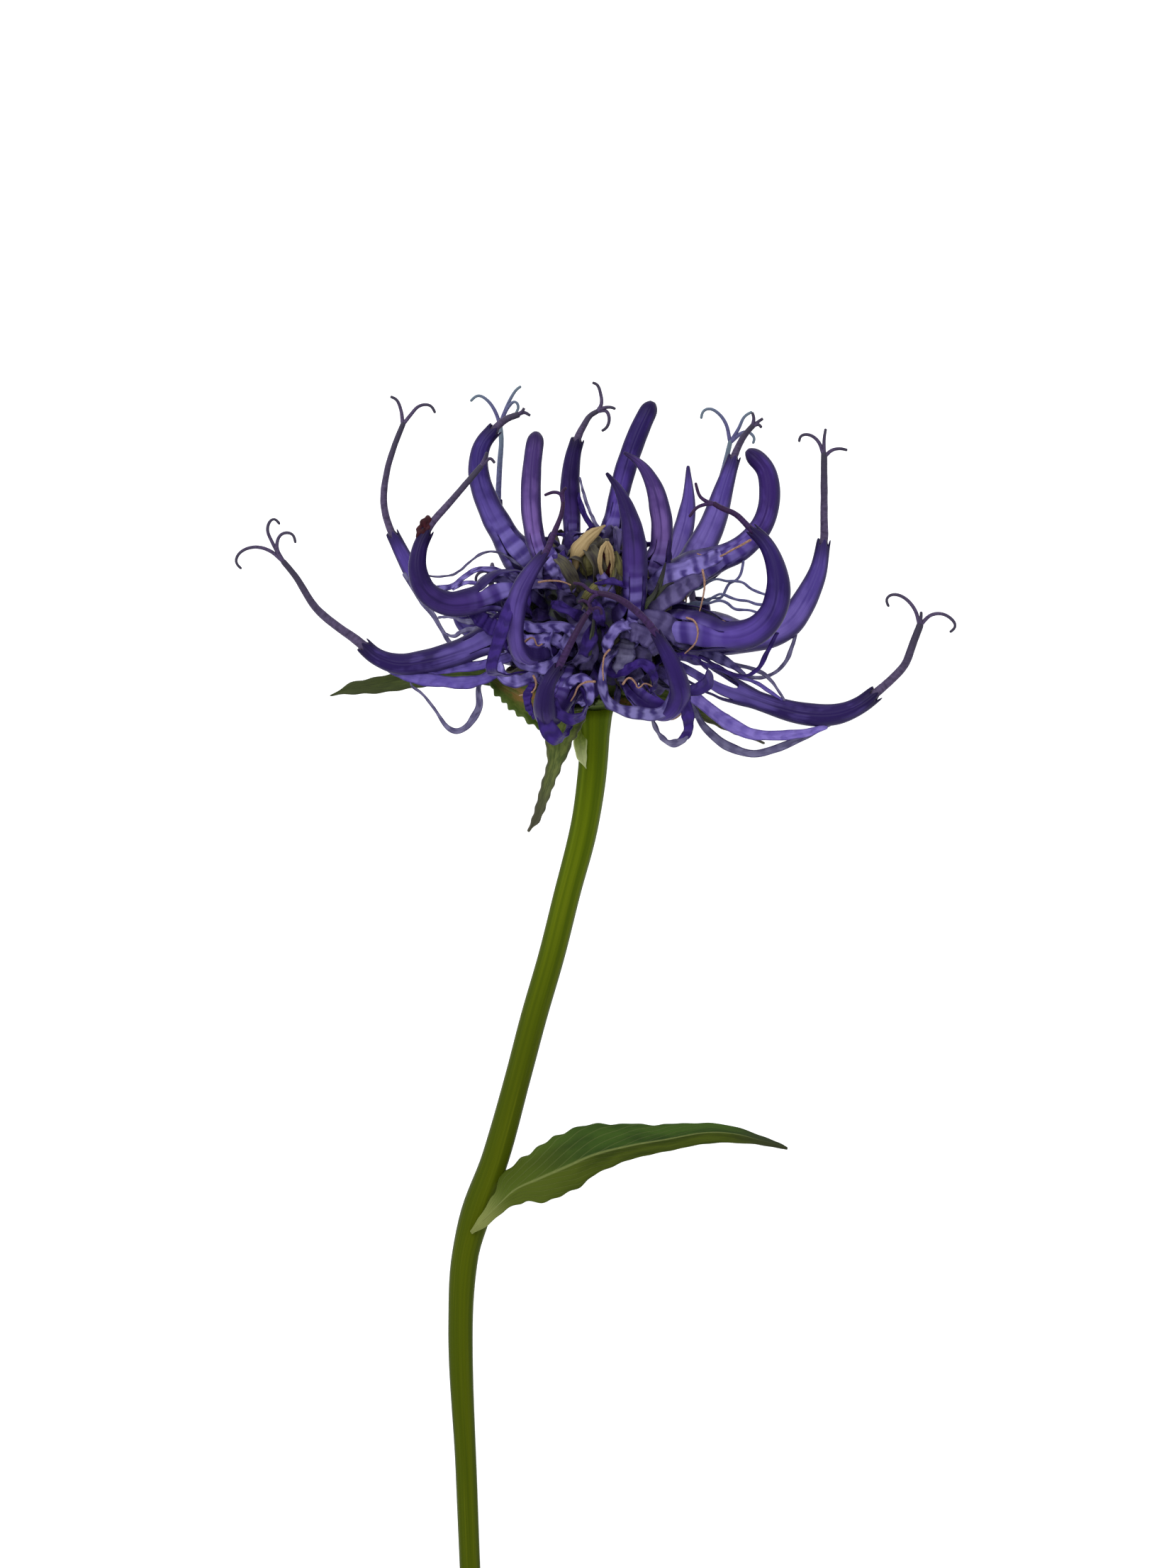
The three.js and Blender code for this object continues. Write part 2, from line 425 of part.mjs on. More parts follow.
function stemLeaf() {
  const steps = 22;
  const between = (column, t) => {
    const place = t * (LEAF.length - 1);
    const i = Math.min(LEAF.length - 2, Math.floor(place));
    return LEAF[i][column] + (LEAF[i + 1][column] - LEAF[i][column]) * (place - i);
  };
  const teeth = (t) => 1 + (Math.round(t * steps) % 2 ? 0.08 : -0.04) * Math.min(1, 6 * (1 - t));
  const widths = (t) => [between(3, t) * teeth(t), between(4, t) * teeth(t)];
  const wave = (t, x) => 0.22 * x * Math.sin(t * 17) * (1 - t);
  return leafBlade(vectors(LEAF), steps, [0.05, 0.45, 0.9], widths, -0.12, wave);
}

function involucre() {
  const disc = new THREE.LatheGeometry(
    [[0, 0], [INVOLUCRE.radius * 0.55, 0], [INVOLUCRE.radius, INVOLUCRE.thickness * 0.7],
      [INVOLUCRE.radius, INVOLUCRE.thickness], [0, INVOLUCRE.thickness]].map(([x, y]) => new THREE.Vector2(x, y)),
    14,
  );
  disc.applyQuaternion(new THREE.Quaternion().setFromUnitVectors(new THREE.Vector3(0, 1, 0), AXIS));
  const foot = AXIS.clone().multiplyScalar(-INVOLUCRE.from - INVOLUCRE.thickness);
  disc.translate(foot.x, foot.y, foot.z);
  const bracts = BRACTS.map(({ midrib, halfWidth, widest, faces }) => {
    const steps = midrib.length > 3 ? 10 : 6;
    const outline = (t) => {
      const swell = t < widest ? 0.7 + 0.3 * (t / widest) : Math.cos(((t - widest) / (1 - widest)) * Math.PI * 0.5) ** 1.1;
      const tooth = Math.round(t * steps) % 2 ? 1.06 : 0.94;
      return Math.max(0.14, halfWidth * swell * tooth);
    };
    return leafBlade(vectors(midrib), steps, faces, (t) => [outline(t), outline(t)], 0.15, () => 0);
  });
  return joined([solid(disc), ...bracts]);
}

// ---------------------------------------------------------------- assembly
const plant = new THREE.Group();
const head = new THREE.Group();
head.position.z = HEAD_HEIGHT;
head.add(node("flower_head", flowerHead(), 0x49358c, 0.55));
head.add(node("involucre", involucre(), 0x4c6a24, 0.6));
plant.add(head);
plant.add(node("stem", stem(), 0x4f6a17, 0.5));
plant.add(node("stem_leaf", stemLeaf(), 0x44622a, 0.6));

export default plant;
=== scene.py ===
# %% [markdown]
# # A round-headed rampion, cut and laid down
# The imported model gives the frame: where the head, the bracts, the stem and its leaf are. Everything
# here is modelled around it, in metres, and stands for those plain solids.

# %% Load the frame
import json
import math
import random

import bmesh
import bpy
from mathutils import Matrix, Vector, noise
from mathutils.geometry import interpolate_bezier

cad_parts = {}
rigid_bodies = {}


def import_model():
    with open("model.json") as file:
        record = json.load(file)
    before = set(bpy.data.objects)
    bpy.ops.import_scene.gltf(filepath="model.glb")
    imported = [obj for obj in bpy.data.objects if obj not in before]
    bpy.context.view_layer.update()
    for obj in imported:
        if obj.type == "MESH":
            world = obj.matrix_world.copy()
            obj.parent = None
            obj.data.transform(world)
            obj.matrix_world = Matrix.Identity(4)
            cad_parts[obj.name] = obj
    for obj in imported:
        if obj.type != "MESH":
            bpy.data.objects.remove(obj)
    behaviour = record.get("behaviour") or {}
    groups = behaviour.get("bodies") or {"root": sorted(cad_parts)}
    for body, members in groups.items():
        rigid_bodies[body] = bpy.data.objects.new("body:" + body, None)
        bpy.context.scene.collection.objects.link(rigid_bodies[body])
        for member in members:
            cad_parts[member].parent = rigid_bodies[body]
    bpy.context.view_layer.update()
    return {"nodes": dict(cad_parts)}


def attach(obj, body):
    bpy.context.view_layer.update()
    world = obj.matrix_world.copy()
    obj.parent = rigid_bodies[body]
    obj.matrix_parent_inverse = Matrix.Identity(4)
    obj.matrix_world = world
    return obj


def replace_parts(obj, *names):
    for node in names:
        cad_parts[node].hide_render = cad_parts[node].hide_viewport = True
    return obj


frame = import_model()
MM = 0.001
HEAD_HEIGHT = 11  # mm from the surface to the middle of the head
print("nodes in the frame:", sorted(frame["nodes"]))

# %% [markdown]
# ## Camera
# The flower lies on its back, so the camera looks straight down on it from far off, as a long lens
# does. Blender's sensor width covers the longer side of the picture. That side shows 99.5 mm of the
# plant, and so the lens follows from the distance.

# %% Camera straight above the flower
VIEW_HEIGHT_MM = 99.54
VIEW_CENTRE_MM = (-0.25, -10.17)
DISTANCE_MM = 600
SENSOR_MM = 36
bpy.ops.object.camera_add(
    location=(VIEW_CENTRE_MM[0] * MM, VIEW_CENTRE_MM[1] * MM, (HEAD_HEIGHT + DISTANCE_MM) * MM),
    rotation=(0, 0, 0),
)
camera = bpy.context.object
camera.data.sensor_width = SENSOR_MM
camera.data.lens = SENSOR_MM * DISTANCE_MM / VIEW_HEIGHT_MM
camera.data.clip_start = 0.01
bpy.context.scene.camera = camera
print("lens in mm:", round(camera.data.lens, 1))

# %% [markdown]
# ## Floor and light
# A white floor under a bright even sky gives the soft light of an overcast day. One large lamp above
# the top left makes one side of each tube a little brighter, so that it looks round.

# %% Floor
FLOOR_SIZE = 3  # metres, so that its edge is far out of view
FLOOR_GREY = 0.6
FLOOR_GLOW = 0.8
bpy.ops.mesh.primitive_plane_add(size=FLOOR_SIZE)
floor = bpy.context.object
floor.name = "floor"
floor_paint = bpy.data.materials.new("floor_white")
floor_paint.use_nodes = True
floor_shader = floor_paint.node_tree.nodes["Principled BSDF"]
floor_shader.inputs["Base Color"].default_value = (FLOOR_GREY, FLOOR_GREY, FLOOR_GREY, 1)
floor_shader.inputs["Roughness"].default_value = 0.9
floor_shader.inputs["Specular IOR Level"].default_value = 0.1
floor_shader.inputs["Emission Color"].default_value = (1, 1, 1, 1)
floor_shader.inputs["Emission Strength"].default_value = FLOOR_GLOW
floor.data.materials.append(floor_paint)
print("floor size in m:", FLOOR_SIZE)

# %% Sky and lamp
SKY_COLOUR = (0.97, 0.98, 1.0, 1)
SKY_STRENGTH = 0.8
LAMP_PLACE = (-0.25, 0.3, 0.6)  # metres: top left, and 0.6 above the floor
LAMP_TURN = (-0.45, -0.4, 0)
LAMP_SIZE = 0.5
LAMP_WATTS = 3.2
sky = bpy.data.worlds.new("even_sky")
sky.use_nodes = True
sky_light = sky.node_tree.nodes["Background"]
sky_light.inputs["Color"].default_value = SKY_COLOUR
sky_light.inputs["Strength"].default_value = SKY_STRENGTH
bpy.context.scene.world = sky
bpy.ops.object.light_add(type="AREA", location=LAMP_PLACE, rotation=LAMP_TURN)
lamp = bpy.context.object
lamp.data.size = LAMP_SIZE
lamp.data.energy = LAMP_WATTS
bpy.context.scene.view_settings.view_transform = "Standard"
print("lamp watts:", lamp.data.energy)

# %% [markdown]
# ## Writing materials as sums
# A socket is wrapped in a small class, so that patterns are written as ordinary sums. Each + or *
# adds a Math node. Every other node comes from the method `add`.

# %% A socket that can be reckoned with
class Wire:
    """A socket in a material. Sums on it add Math nodes."""

    def __init__(self, tree, socket=None):
        self.tree = tree
        self.socket = socket

    def add(self, kind, settings, values, output=0):
        """A new node: its settings first, then the values or wires of its sockets."""
        node = self.tree.nodes.new(kind)
        for key, setting in settings.items():
            setattr(node, key, setting)
        for key, value in values.items():
            if isinstance(value, Wire):
                self.tree.links.new(value.socket, node.inputs[key])
            else:
                node.inputs[key].default_value = value
        return Wire(self.tree, node.outputs[output])

    def maths(self, operation, *others):
        """A Math node whose first value is this wire."""
        return self.add("ShaderNodeMath", {"operation": operation}, dict(enumerate([self, *others])))

    def __add__(self, other):
        return self.maths("ADD", other)

    def __sub__(self, other):
        return self.maths("SUBTRACT", other)

    def __rsub__(self, other):
        return self * -1 + other

    def __mul__(self, other):
        return self.maths("MULTIPLY", other)

    __radd__ = __add__
    __rmul__ = __mul__


print("a wire can add, subtract and multiply, from both sides")

# %% [markdown]
# ## Patterns that follow a petal
# Each piece has its own UV map: U runs around or across it, and V along it from its root (0) to its
# tip (1). The patterns read that map, so they bend with the petal. They are made with a few tools: a
# soft step, a mix of two colours, a noise that can be drawn out along V, and rows of wrinkled blocks.
# One more paints shade on whatever lies deep in the head, where little light gets in. It reads the place, and
# not the map.

# %% Pattern tools
def srgb(red, green, blue):
    """A colour as on a screen, from 0 to 255, as the linear colour that a shader takes."""
    return (*[((c / 255 + 0.055) / 1.055) ** 2.4 for c in (red, green, blue)], 1)


def rise(value, low, high):
    """A soft step from 0 at low to 1 at high."""
    settings = {"interpolation_type": "SMOOTHSTEP"}
    return value.add("ShaderNodeMapRange", settings, {0: value, 1: low, 2: high, 3: 0.0, 4: 1.0})


def off_centre(wire, centre=0.5):
    """How far a wire is from a value, to either side."""
    return (wire - centre).maths("ABSOLUTE")


def mixed(factor, first, second):
    """The first colour where the factor is 0, and the second where it is 1."""
    return factor.add("ShaderNodeMix", {"data_type": "RGBA"}, {0: factor, 6: first, 7: second}, output=2)


def stretched_noise(around, along, across_scale, along_scale, detail=2.0):
    """Noise from 0 to 1 on the UV map, with its own number of grains across and along."""
    place = around.add("ShaderNodeCombineXYZ", {}, {0: around * across_scale, 1: along * along_scale})
    values = {"Vector": place, "Scale": 1.0, "Detail": detail, "Roughness": 0.55}
    return place.add("ShaderNodeTexNoise", {}, values)


def blocks(around, along, count, shift=0.0):
    """Light blocks in a row along V with soft wrinkles between them, and where such blocks show."""
    wobble = stretched_noise(around, along, 1.2, count * 0.35)
    wrinkle = off_centre((along * count + wobble * 1.3 + shift).maths("FRACT")) * 2
    patch = stretched_noise(around, along, 0.7, count * 0.2)
    return 1 - rise(wrinkle, 0.25, 0.88), rise(patch, 0.37, 0.5)


# Painted shade: darkest within this distance of the head's middle, and none beyond the next.
DARK_WITHIN_MM = 4.4
CLEAR_BEYOND_MM = 7.2


def painted_deep_shade(colour, amount=0.7):
    """The colour with painted shade deep in the head, where the packed tissue gets little light."""
    place = colour.add("ShaderNodeTexCoord", {}, {}, output=3)
    middle = {0: place, 1: (0, 0, HEAD_HEIGHT * MM)}
    away = place.add("ShaderNodeVectorMath", {"operation": "DISTANCE"}, middle, output=1)
    deep = 1 - rise(away, DARK_WITHIN_MM * MM, CLEAR_BEYOND_MM * MM)
    # the painted shade is a near-black violet
    return mixed(deep * amount, colour, srgb(32, 23, 50))


print("all dark within", DARK_WITHIN_MM, "mm of the head's middle")

# %% A new finish and its last links
def new_finish(name, roughness, specular=0.16):
    """A material with its shader, and the wires of U and V."""
    finish = bpy.data.materials.new(name)
    finish.use_nodes = True
    tree = finish.node_tree
    shader = tree.nodes["Principled BSDF"]
    shader.inputs["Roughness"].default_value = roughness
    shader.inputs["Specular IOR Level"].default_value = specular
    uv = Wire(tree).add("ShaderNodeUVMap", {}, {})
    around = uv.add("ShaderNodeSeparateXYZ", {}, {0: uv})
    along = Wire(tree, around.socket.node.outputs[1])
    return finish, shader, around, along


def connect(shader, colour, height=None, depth_mm=0.05):
    """The colour goes to the shader, and the height, if there is one, through a Bump node."""
    colour.tree.links.new(colour.socket, shader.inputs["Base Color"])
    if height:
        values = {"Height": height, "Strength": 0.7, "Distance": depth_mm * MM}
        bump = height.add("ShaderNodeBump", {}, values)
        bump.tree.links.new(bump.socket, shader.inputs["Normal"])


print("violet of a corolla:", [round(c, 3) for c in srgb(94, 72, 156)])

# %% [markdown]
# ## The finish of a corolla
# A corolla is five narrow lobes grown together in a horn. The horn is violet, with a dark line along
# its middle, and its tip is nearly black. Its flanks, the sides of the horn as seen from above, are
# painted dark as shade. Low down, where the lobes are free, they are lavender blocks between dark
# wrinkles. One function makes it in several tones, because older florets are more purple and those
# in the shade are bluer. The painted shade is laid around the horn, and so it is the same from every
# side.

# %% Corolla finishes
LOBES = 5
LOBE_CENTRE = 0.375  # where the first lobe's middle is, in lobes
LAVENDER = srgb(124, 112, 184)
DEEP_VIOLET = srgb(50, 36, 106)
NEARLY_BLACK = srgb(20, 12, 40)
# the dark of the lobes' margins, and the painted shade on a horn's flanks
DARK_MARGIN_AND_FLANK_SHADE = srgb(30, 16, 68)


def corolla_finish(name, light, deep, wrinkled_to=0.45, midline_depth=0.25, aged_from=0.4):
    """The skin of a horn, wrinkled up to one height and darker from another."""
    finish, shader, around, along = new_finish(name, roughness=0.42, specular=0.1)
    flank = (around * math.tau).maths("COSINE").maths("ABSOLUTE")
    in_lobes = around * LOBES + (0.5 - LOBE_CENTRE)
    lobe = in_lobes.maths("FLOOR")
    from_middle = off_centre(in_lobes.maths("FRACT"))
    streak = stretched_noise(around, along, 24, 3)
    cloud = stretched_noise(around, along, 3, 7)
    midline = 1 - rise(flank, 0.0, 0.15)
    aged = 0.75 * rise(along, aged_from, aged_from + 0.4) + 0.4 * rise(cloud, 0.38, 0.66)
    shade = aged + 0.28 * rise(streak, 0.42, 0.72) + midline * midline_depth
    body = mixed(shade.maths("MINIMUM", 1.0), light, deep)
    low = 1 - rise(along, wrinkled_to - 0.15, wrinkled_to + 0.12)
    block, patch = blocks(around, along, 14, lobe * 0.37)
    with_blocks = mixed(low * patch * 0.7, body, mixed(block, DEEP_VIOLET, LAVENDER))
    margin = rise(from_middle, 0.26, 0.4) * low * 0.5
    # painted shade on the flanks, the horn's sides as seen from above, joined with the dark lobe margins
    edge = margin.maths("MAXIMUM", rise(flank, 0.5, 0.94) * 0.92)
    edged = mixed(edge, with_blocks, DARK_MARGIN_AND_FLANK_SHADE)
    colour = mixed(rise(along, 0.86, 1.0) * 0.7, edged, NEARLY_BLACK)
    height = streak * 0.5 + block * low * patch - midline * 0.4
    # with painted shade on what lies deep in the head
    connect(shader, painted_deep_shade(colour, 0.6), height, depth_mm=0.09)
    return finish


print("a corolla has", LOBES, "lobes")

# %% Corolla tones
TONES = {
    "blue": corolla_finish("corolla_blue_violet", srgb(98, 82, 160), srgb(48, 35, 98)),
    "light": corolla_finish("corolla_light", srgb(118, 100, 178), srgb(74, 58, 132), aged_from=0.5),
    "ink": corolla_finish("corolla_ink", srgb(106, 90, 168), srgb(36, 22, 76), 0.3, aged_from=0.28),
    "violet": corolla_finish("corolla_violet", srgb(80, 60, 142), srgb(38, 24, 82), 0.36),
    "purple": corolla_finish("corolla_purple", srgb(116, 90, 158), srgb(60, 41, 98), 0.36, 0.6),
    "dark": corolla_finish("corolla_dark", srgb(66, 46, 114), srgb(34, 20, 70), 0.4, 0.4),
    "pale": corolla_finish("corolla_pale", srgb(130, 112, 186), srgb(88, 70, 148), 0.3),
    "young": corolla_finish("corolla_young", srgb(88, 70, 142), srgb(60, 44, 106), 0.36, aged_from=0.55),
    "indigo": corolla_finish("corolla_indigo", srgb(66, 46, 122), srgb(40, 24, 84), 0.36),
    "claw": corolla_finish("corolla_claw", srgb(104, 82, 174), srgb(48, 28, 92), 0.55, 0.2, aged_from=0.35),
}
print("corolla tones:", list(TONES))

# %% [markdown]
# ## Other finishes of the head
# A free lobe is a strap of light blocks with dark wrinkles and margins. A style is dark grey purple.
# Dry flowers and stamens are straw-coloured with brown streaks, and calyx teeth are dark green. They
# differ in their colours and grain, so two functions make them all. Crumpled tissue is a dull,
# mottled violet with hardly any blocks.

# %% Strap and streaked finishes
BLOCKS_PER_CM = 11  # the V of a strap is its length in centimetres


def strap_finish(name, light, dark, banding=0.85, margin=0.6):
    """The skin of a free lobe, with more or less of its blocks and dark margins."""
    finish, shader, around, along = new_finish(name, roughness=0.5, specular=0.1)
    cloud = stretched_noise(around, along, 1.4, 7)
    streak = stretched_noise(around, along, 8, 4)
    body = mixed(0.25 + 0.4 * rise(cloud, 0.36, 0.64) + 0.15 * rise(streak, 0.4, 0.7), light, dark)
    block, patch = blocks(around, along, BLOCKS_PER_CM)
    banded = mixed(patch * banding, body, mixed(block, dark, light))
    edge = rise(off_centre(around), 0.36, 0.5) * margin
    colour = mixed(edge, banded, DARK_MARGIN_AND_FLANK_SHADE)
    # with painted shade on what lies deep in the head
    connect(shader, painted_deep_shade(colour), block * patch + streak * 0.3, depth_mm=0.1)
    return finish


def streaked_finish(name, light, dark, roughness, across, lengthwise, tip=None):
    """Two colours in streaks, so many across and along, and maybe a third colour at the tip."""
    finish, shader, around, along = new_finish(name, roughness=roughness)
    grain = stretched_noise(around, along, across, lengthwise, detail=3.0)
    colour = mixed(rise(grain, 0.3, 0.75), light, dark)
    if tip:
        colour = mixed(rise(along, 0.2, 1.0), colour, tip)
    connect(shader, colour, grain, depth_mm=0.05)
    return finish


print("blocks in each centimetre:", BLOCKS_PER_CM)

# %% Free lobes and crumpled tissue
STRAP = strap_finish("free_lobe", srgb(138, 126, 196), srgb(50, 34, 104))
SMOOTH_STRAP = strap_finish("free_lobe_smooth", srgb(112, 98, 172), srgb(74, 58, 138), banding=0.2)
LIGHT_STRAP = strap_finish("free_lobe_light", srgb(136, 120, 196), srgb(82, 66, 146), banding=0.3, margin=0.4)
DARK_STRAP = strap_finish("free_lobe_dark", srgb(60, 40, 118), srgb(32, 17, 76), banding=0.5)
PALE_STRAP = strap_finish("free_lobe_pale", srgb(118, 110, 164), srgb(46, 35, 92))
GREY_STRAP = strap_finish("free_lobe_grey", srgb(122, 118, 150), srgb(64, 58, 94), banding=0.4)
MEMBRANE = strap_finish("crumpled_tissue", srgb(92, 83, 128), srgb(48, 39, 80), banding=0.6, margin=0.5)
print("finishes so far:", len(bpy.data.materials))

# %% Styles, dry flowers, stamens and calyx
STYLE = streaked_finish("style", srgb(84, 72, 102), srgb(52, 42, 68), 0.6, 3, 26, srgb(54, 50, 66))
RED_STYLE = streaked_finish("style_red", srgb(60, 34, 82), srgb(34, 16, 50), 0.55, 3, 26, srgb(42, 20, 52))
PALE_STYLE = streaked_finish(
    "style_pale", srgb(92, 90, 134), srgb(66, 64, 98), 0.6, 3, 26, srgb(96, 110, 122)
)
DRY = streaked_finish("dry_flower", srgb(168, 147, 106), srgb(112, 90, 58), 0.7, 5, 2)
OLIVE = streaked_finish("dry_flower_olive", srgb(104, 100, 58), srgb(52, 46, 34), 0.7, 7, 3)
STAMEN = streaked_finish("dry_stamen", srgb(166, 130, 108), srgb(106, 74, 62), 0.7, 4, 18)
SEPAL = streaked_finish("withered_sepal", srgb(84, 80, 62), srgb(40, 33, 44), 0.6, 5, 6)
CALYX = streaked_finish("calyx", srgb(76, 84, 58), srgb(34, 38, 32), 0.5, 8, 5, srgb(30, 24, 36))
CRUST = streaked_finish("dark_crust", srgb(60, 14, 26), srgb(24, 6, 14), 0.6, 6, 6)
print("finishes of the head:", len(bpy.data.materials))

# %% [markdown]
# ## Bending a straight blank
# Petals, styles, leaves and the stem are all modelled straight, along X from 0 to 1, where they are
# easy to shape, and are then bent along a smooth line through a few points. A Curve modifier could
# bend them, but it leaves the roll of a piece to the curve. Here the line carries a frame that
# faces a chosen way at one end and turns as little as it can, so each blade faces where it should.

# %% A smooth line
STRETCH_POINTS = 24  # points on each stretch of the line


def smooth_line(points):
    """Many points on a smooth line through a few, with handles as long as a third of each stretch."""
    points = [Vector(p) for p in points]
    ways = [(b - a).normalized() for a, b in zip(points, points[1:])]
    leans = [ways[0]] + [(a + b).normalized() for a, b in zip(ways, ways[1:])] + [ways[-1]]
    line = [points[0]]
    for a, b, lean_a, lean_b in zip(points, points[1:], leans, leans[1:]):
        reach = (b - a).length / 3
        line += interpolate_bezier(a, a + lean_a * reach, b - lean_b * reach, b, STRETCH_POINTS)[1:]
    return line


print("points on a line of two stretches:", len(smooth_line([(0, 0, 0), (1, 0, 0), (1, 1, 0)])))

# %% The line's frame, and the bend
LINE_STEPS = 96


def frames_along(points, facing=(0, 0, 1), from_tip=False):
    """Place, side and face at equal steps along the smooth line. The face is set at one end."""
    line = smooth_line(points)
    reached = [0.0]
    for a, b in zip(line, line[1:]):
        reached.append(reached[-1] + (b - a).length)
    places = []
    i = 0
    for step in range(LINE_STEPS + 1):
        goal = reached[-1] * step / LINE_STEPS
        while i < len(line) - 2 and reached[i + 1] < goal:
            i += 1
        share = (goal - reached[i]) / max(1e-12, reached[i + 1] - reached[i])
        places.append(line[i].lerp(line[i + 1], min(1, share)))
    face = Vector(facing)
    frames = [None] * len(places)
    steps = range(len(places))
    for step in reversed(steps) if from_tip else steps:
        way = (places[min(step + 1, LINE_STEPS)] - places[max(step - 1, 0)]).normalized()
        face = (face - way * face.dot(way)).normalized()
        frames[step] = (places[step], way.cross(face), face)
    return frames


def bend(piece, points, facing=(0, 0, 1), from_tip=False):
    """Bends a blank, whose X runs from 0 to 1, along the line through the points."""
    frames = frames_along(points, facing, from_tip)
    for vertex in piece.data.vertices:
        step = min(max(vertex.co.x, 0), 1) * LINE_STEPS
        low = min(int(step), LINE_STEPS - 1)
        place, side, face = (a.lerp(b, step - low) for a, b in zip(frames[low], frames[low + 1]))
        vertex.co = place - side * vertex.co.y + face * vertex.co.z
    return piece


def from_head(points):
    """Points in millimetres from the head's middle, as places in the frame."""
    return [Vector((x, y, z + HEAD_HEIGHT)) * MM for x, y, z in points]


print("a line has", LINE_STEPS, "steps")

# %% [markdown]
# ## Blanks
# A tube starts as an open or closed cylinder along X, whose long edges are cut in rings in edit
# mode. A blade starts as a grid. Both get a UV map from their straight form, before any bending, so
# that U and V mean the same on every piece.

# %% Tube and blade blanks
def deselect_all():
    """Nothing is left selected, so that an operator acts on the new piece alone."""
    bpy.ops.object.select_all(action="DESELECT")


def map_blank(piece, is_tube):
    """Sets U around the tube or across the blade, and V along it."""
    mesh = piece.data
    uv = mesh.uv_layers["UVMap"]
    for face in mesh.polygons:
        corners = [mesh.vertices[i].co for i in face.vertices]
        if is_tube:
            across = [math.atan2(c.z, c.y) / math.tau % 1 for c in corners]
            if max(across) - min(across) > 0.5:
                across = [a + 1 if a < 0.5 else a for a in across]
        else:
            across = [0.5 + 0.5 * c.y for c in corners]
        for loop, a, corner in zip(face.loop_indices, across, corners):
            uv.data[loop].uv = (a, corner.x)


def tube_blank(name, sides, rings, ends="NGON"):
    """A tube of radius 1 along X from 0 to 1."""
    deselect_all()
    quarter_turn = (0, math.pi / 2, 0)
    bpy.ops.mesh.primitive_cylinder_add(
        vertices=sides, radius=1, depth=1, end_fill_type=ends, location=(0.5, 0, 0), rotation=quarter_turn
    )
    blank = bpy.context.object
    blank.name = name
    bpy.ops.object.transform_apply(location=True, rotation=True, scale=True)
    bpy.ops.object.mode_set(mode="EDIT")
    bpy.ops.mesh.select_mode(type="EDGE")
    bpy.ops.mesh.select_all(action="DESELECT")
    edges = bmesh.from_edit_mesh(blank.data)
    for edge in edges.edges:
        edge.select = abs(edge.verts[0].co.x - edge.verts[1].co.x) > 0.5
    bmesh.update_edit_mesh(blank.data)
    bpy.ops.mesh.subdivide(number_cuts=rings - 1)
    bpy.ops.object.mode_set(mode="OBJECT")
    map_blank(blank, is_tube=True)
    return blank


def blade_blank(name, columns, rows):
    """A flat blade of half-width 1 along X from 0 to 1."""
    deselect_all()
    bpy.ops.mesh.primitive_grid_add(
        x_subdivisions=rows, y_subdivisions=columns, size=1, location=(0.5, 0, 0)
    )
    blank = bpy.context.object
    blank.name = name
    bpy.ops.object.transform_apply(location=True, rotation=True, scale=True)
    for vertex in blank.data.vertices:
        vertex.co.y *= 2
    map_blank(blank, is_tube=False)
    return blank


print("blanks are 1 long, with a radius or half-width of 1")

# %% Copy, finish, join and place
def copied(blank, name):
    """A copy with its own mesh."""
    piece = blank.copy()
    piece.data = blank.data.copy()
    piece.name = name
    bpy.context.collection.objects.link(piece)
    return piece


def finished(piece, finish, thickness_mm=0.0, smooth_levels=1):
    """Gives a bent piece its wall, rounds it, and lays on its finish."""
    deselect_all()
    piece.select_set(True)
    bpy.context.view_layer.objects.active = piece
    if thickness_mm:
        wall = piece.modifiers.new("wall", "SOLIDIFY")
        wall.thickness = thickness_mm * MM
        wall.offset = 0
        bpy.ops.object.modifier_apply(modifier="wall")
    if smooth_levels:
        rounded = piece.modifiers.new("rounded", "SUBSURF")
        rounded.levels = smooth_levels
        rounded.render_levels = smooth_levels
        bpy.ops.object.modifier_apply(modifier="rounded")
    for vertex in piece.data.vertices:
        vertex.co.z = max(vertex.co.z, 0)  # what would sink into the surface lies flat on it
    bpy.ops.object.shade_smooth()
    piece.data.materials.append(finish)
    return piece


def joined(pieces, name):
    """One piece made of several."""
    deselect_all()
    for piece in pieces:
        piece.select_set(True)
    bpy.context.view_layer.objects.active = pieces[0]
    bpy.ops.object.join()
    pieces[0].name = name
    return pieces[0]


def placed(piece):
    """The piece moves with the plant."""
    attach(piece, "root")
    return piece


print("pieces ride on the body root")

# %% [markdown]
# ## The corolla
# The blank has twenty columns of faces, four to a lobe. Low down, one column in four is deleted in
# edit mode, and that leaves five free straps. Then each vertex is set at its radius. The straps bow
# out like the bars of a lantern, each by its own amount, and some are as thin as threads. Above
# them the horn swells, and narrows to its mouth. Each floret is a copy of this one blank.

# %% The slit blank
COLUMNS = 4 * LOBES
ROWS = 40
SLIT_TO = 0.42  # how far along the corolla its lobes are free
slit_blank = tube_blank("slit_blank", COLUMNS, ROWS, ends="NOTHING")
bpy.ops.object.mode_set(mode="EDIT")
bpy.ops.mesh.select_mode(type="FACE")
bpy.ops.mesh.select_all(action="DESELECT")
tube = bmesh.from_edit_mesh(slit_blank.data)
for face in tube.faces:
    centre = face.calc_center_median()
    column = int((math.atan2(centre.z, centre.y) / math.tau % 1) * COLUMNS)
    face.select = column % 4 == 3 and centre.x < SLIT_TO
bmesh.update_edit_mesh(slit_blank.data)
bpy.ops.mesh.delete(type="FACE")
bpy.ops.object.mode_set(mode="OBJECT")
print("slit blank has", len(slit_blank.data.polygons), "faces")

# %% Shaping one corolla
FLORET_SEED = 11  # each kind of piece counts its seeds from a number of its own
UNDER_SEED = 40
ROOT_MM = 3.2  # florets are rooted this far from the head's middle
ROOT_RADIUS_MM = 0.35
WALL_MM = 0.11
SLIT_CLOSES = 0.06  # the stretch above the slits in which their edges part again


def soft(t):
    """A soft step from 0 to 1, on plain numbers."""
    t = min(max(t, 0), 1)
    return t * t * (3 - 2 * t)


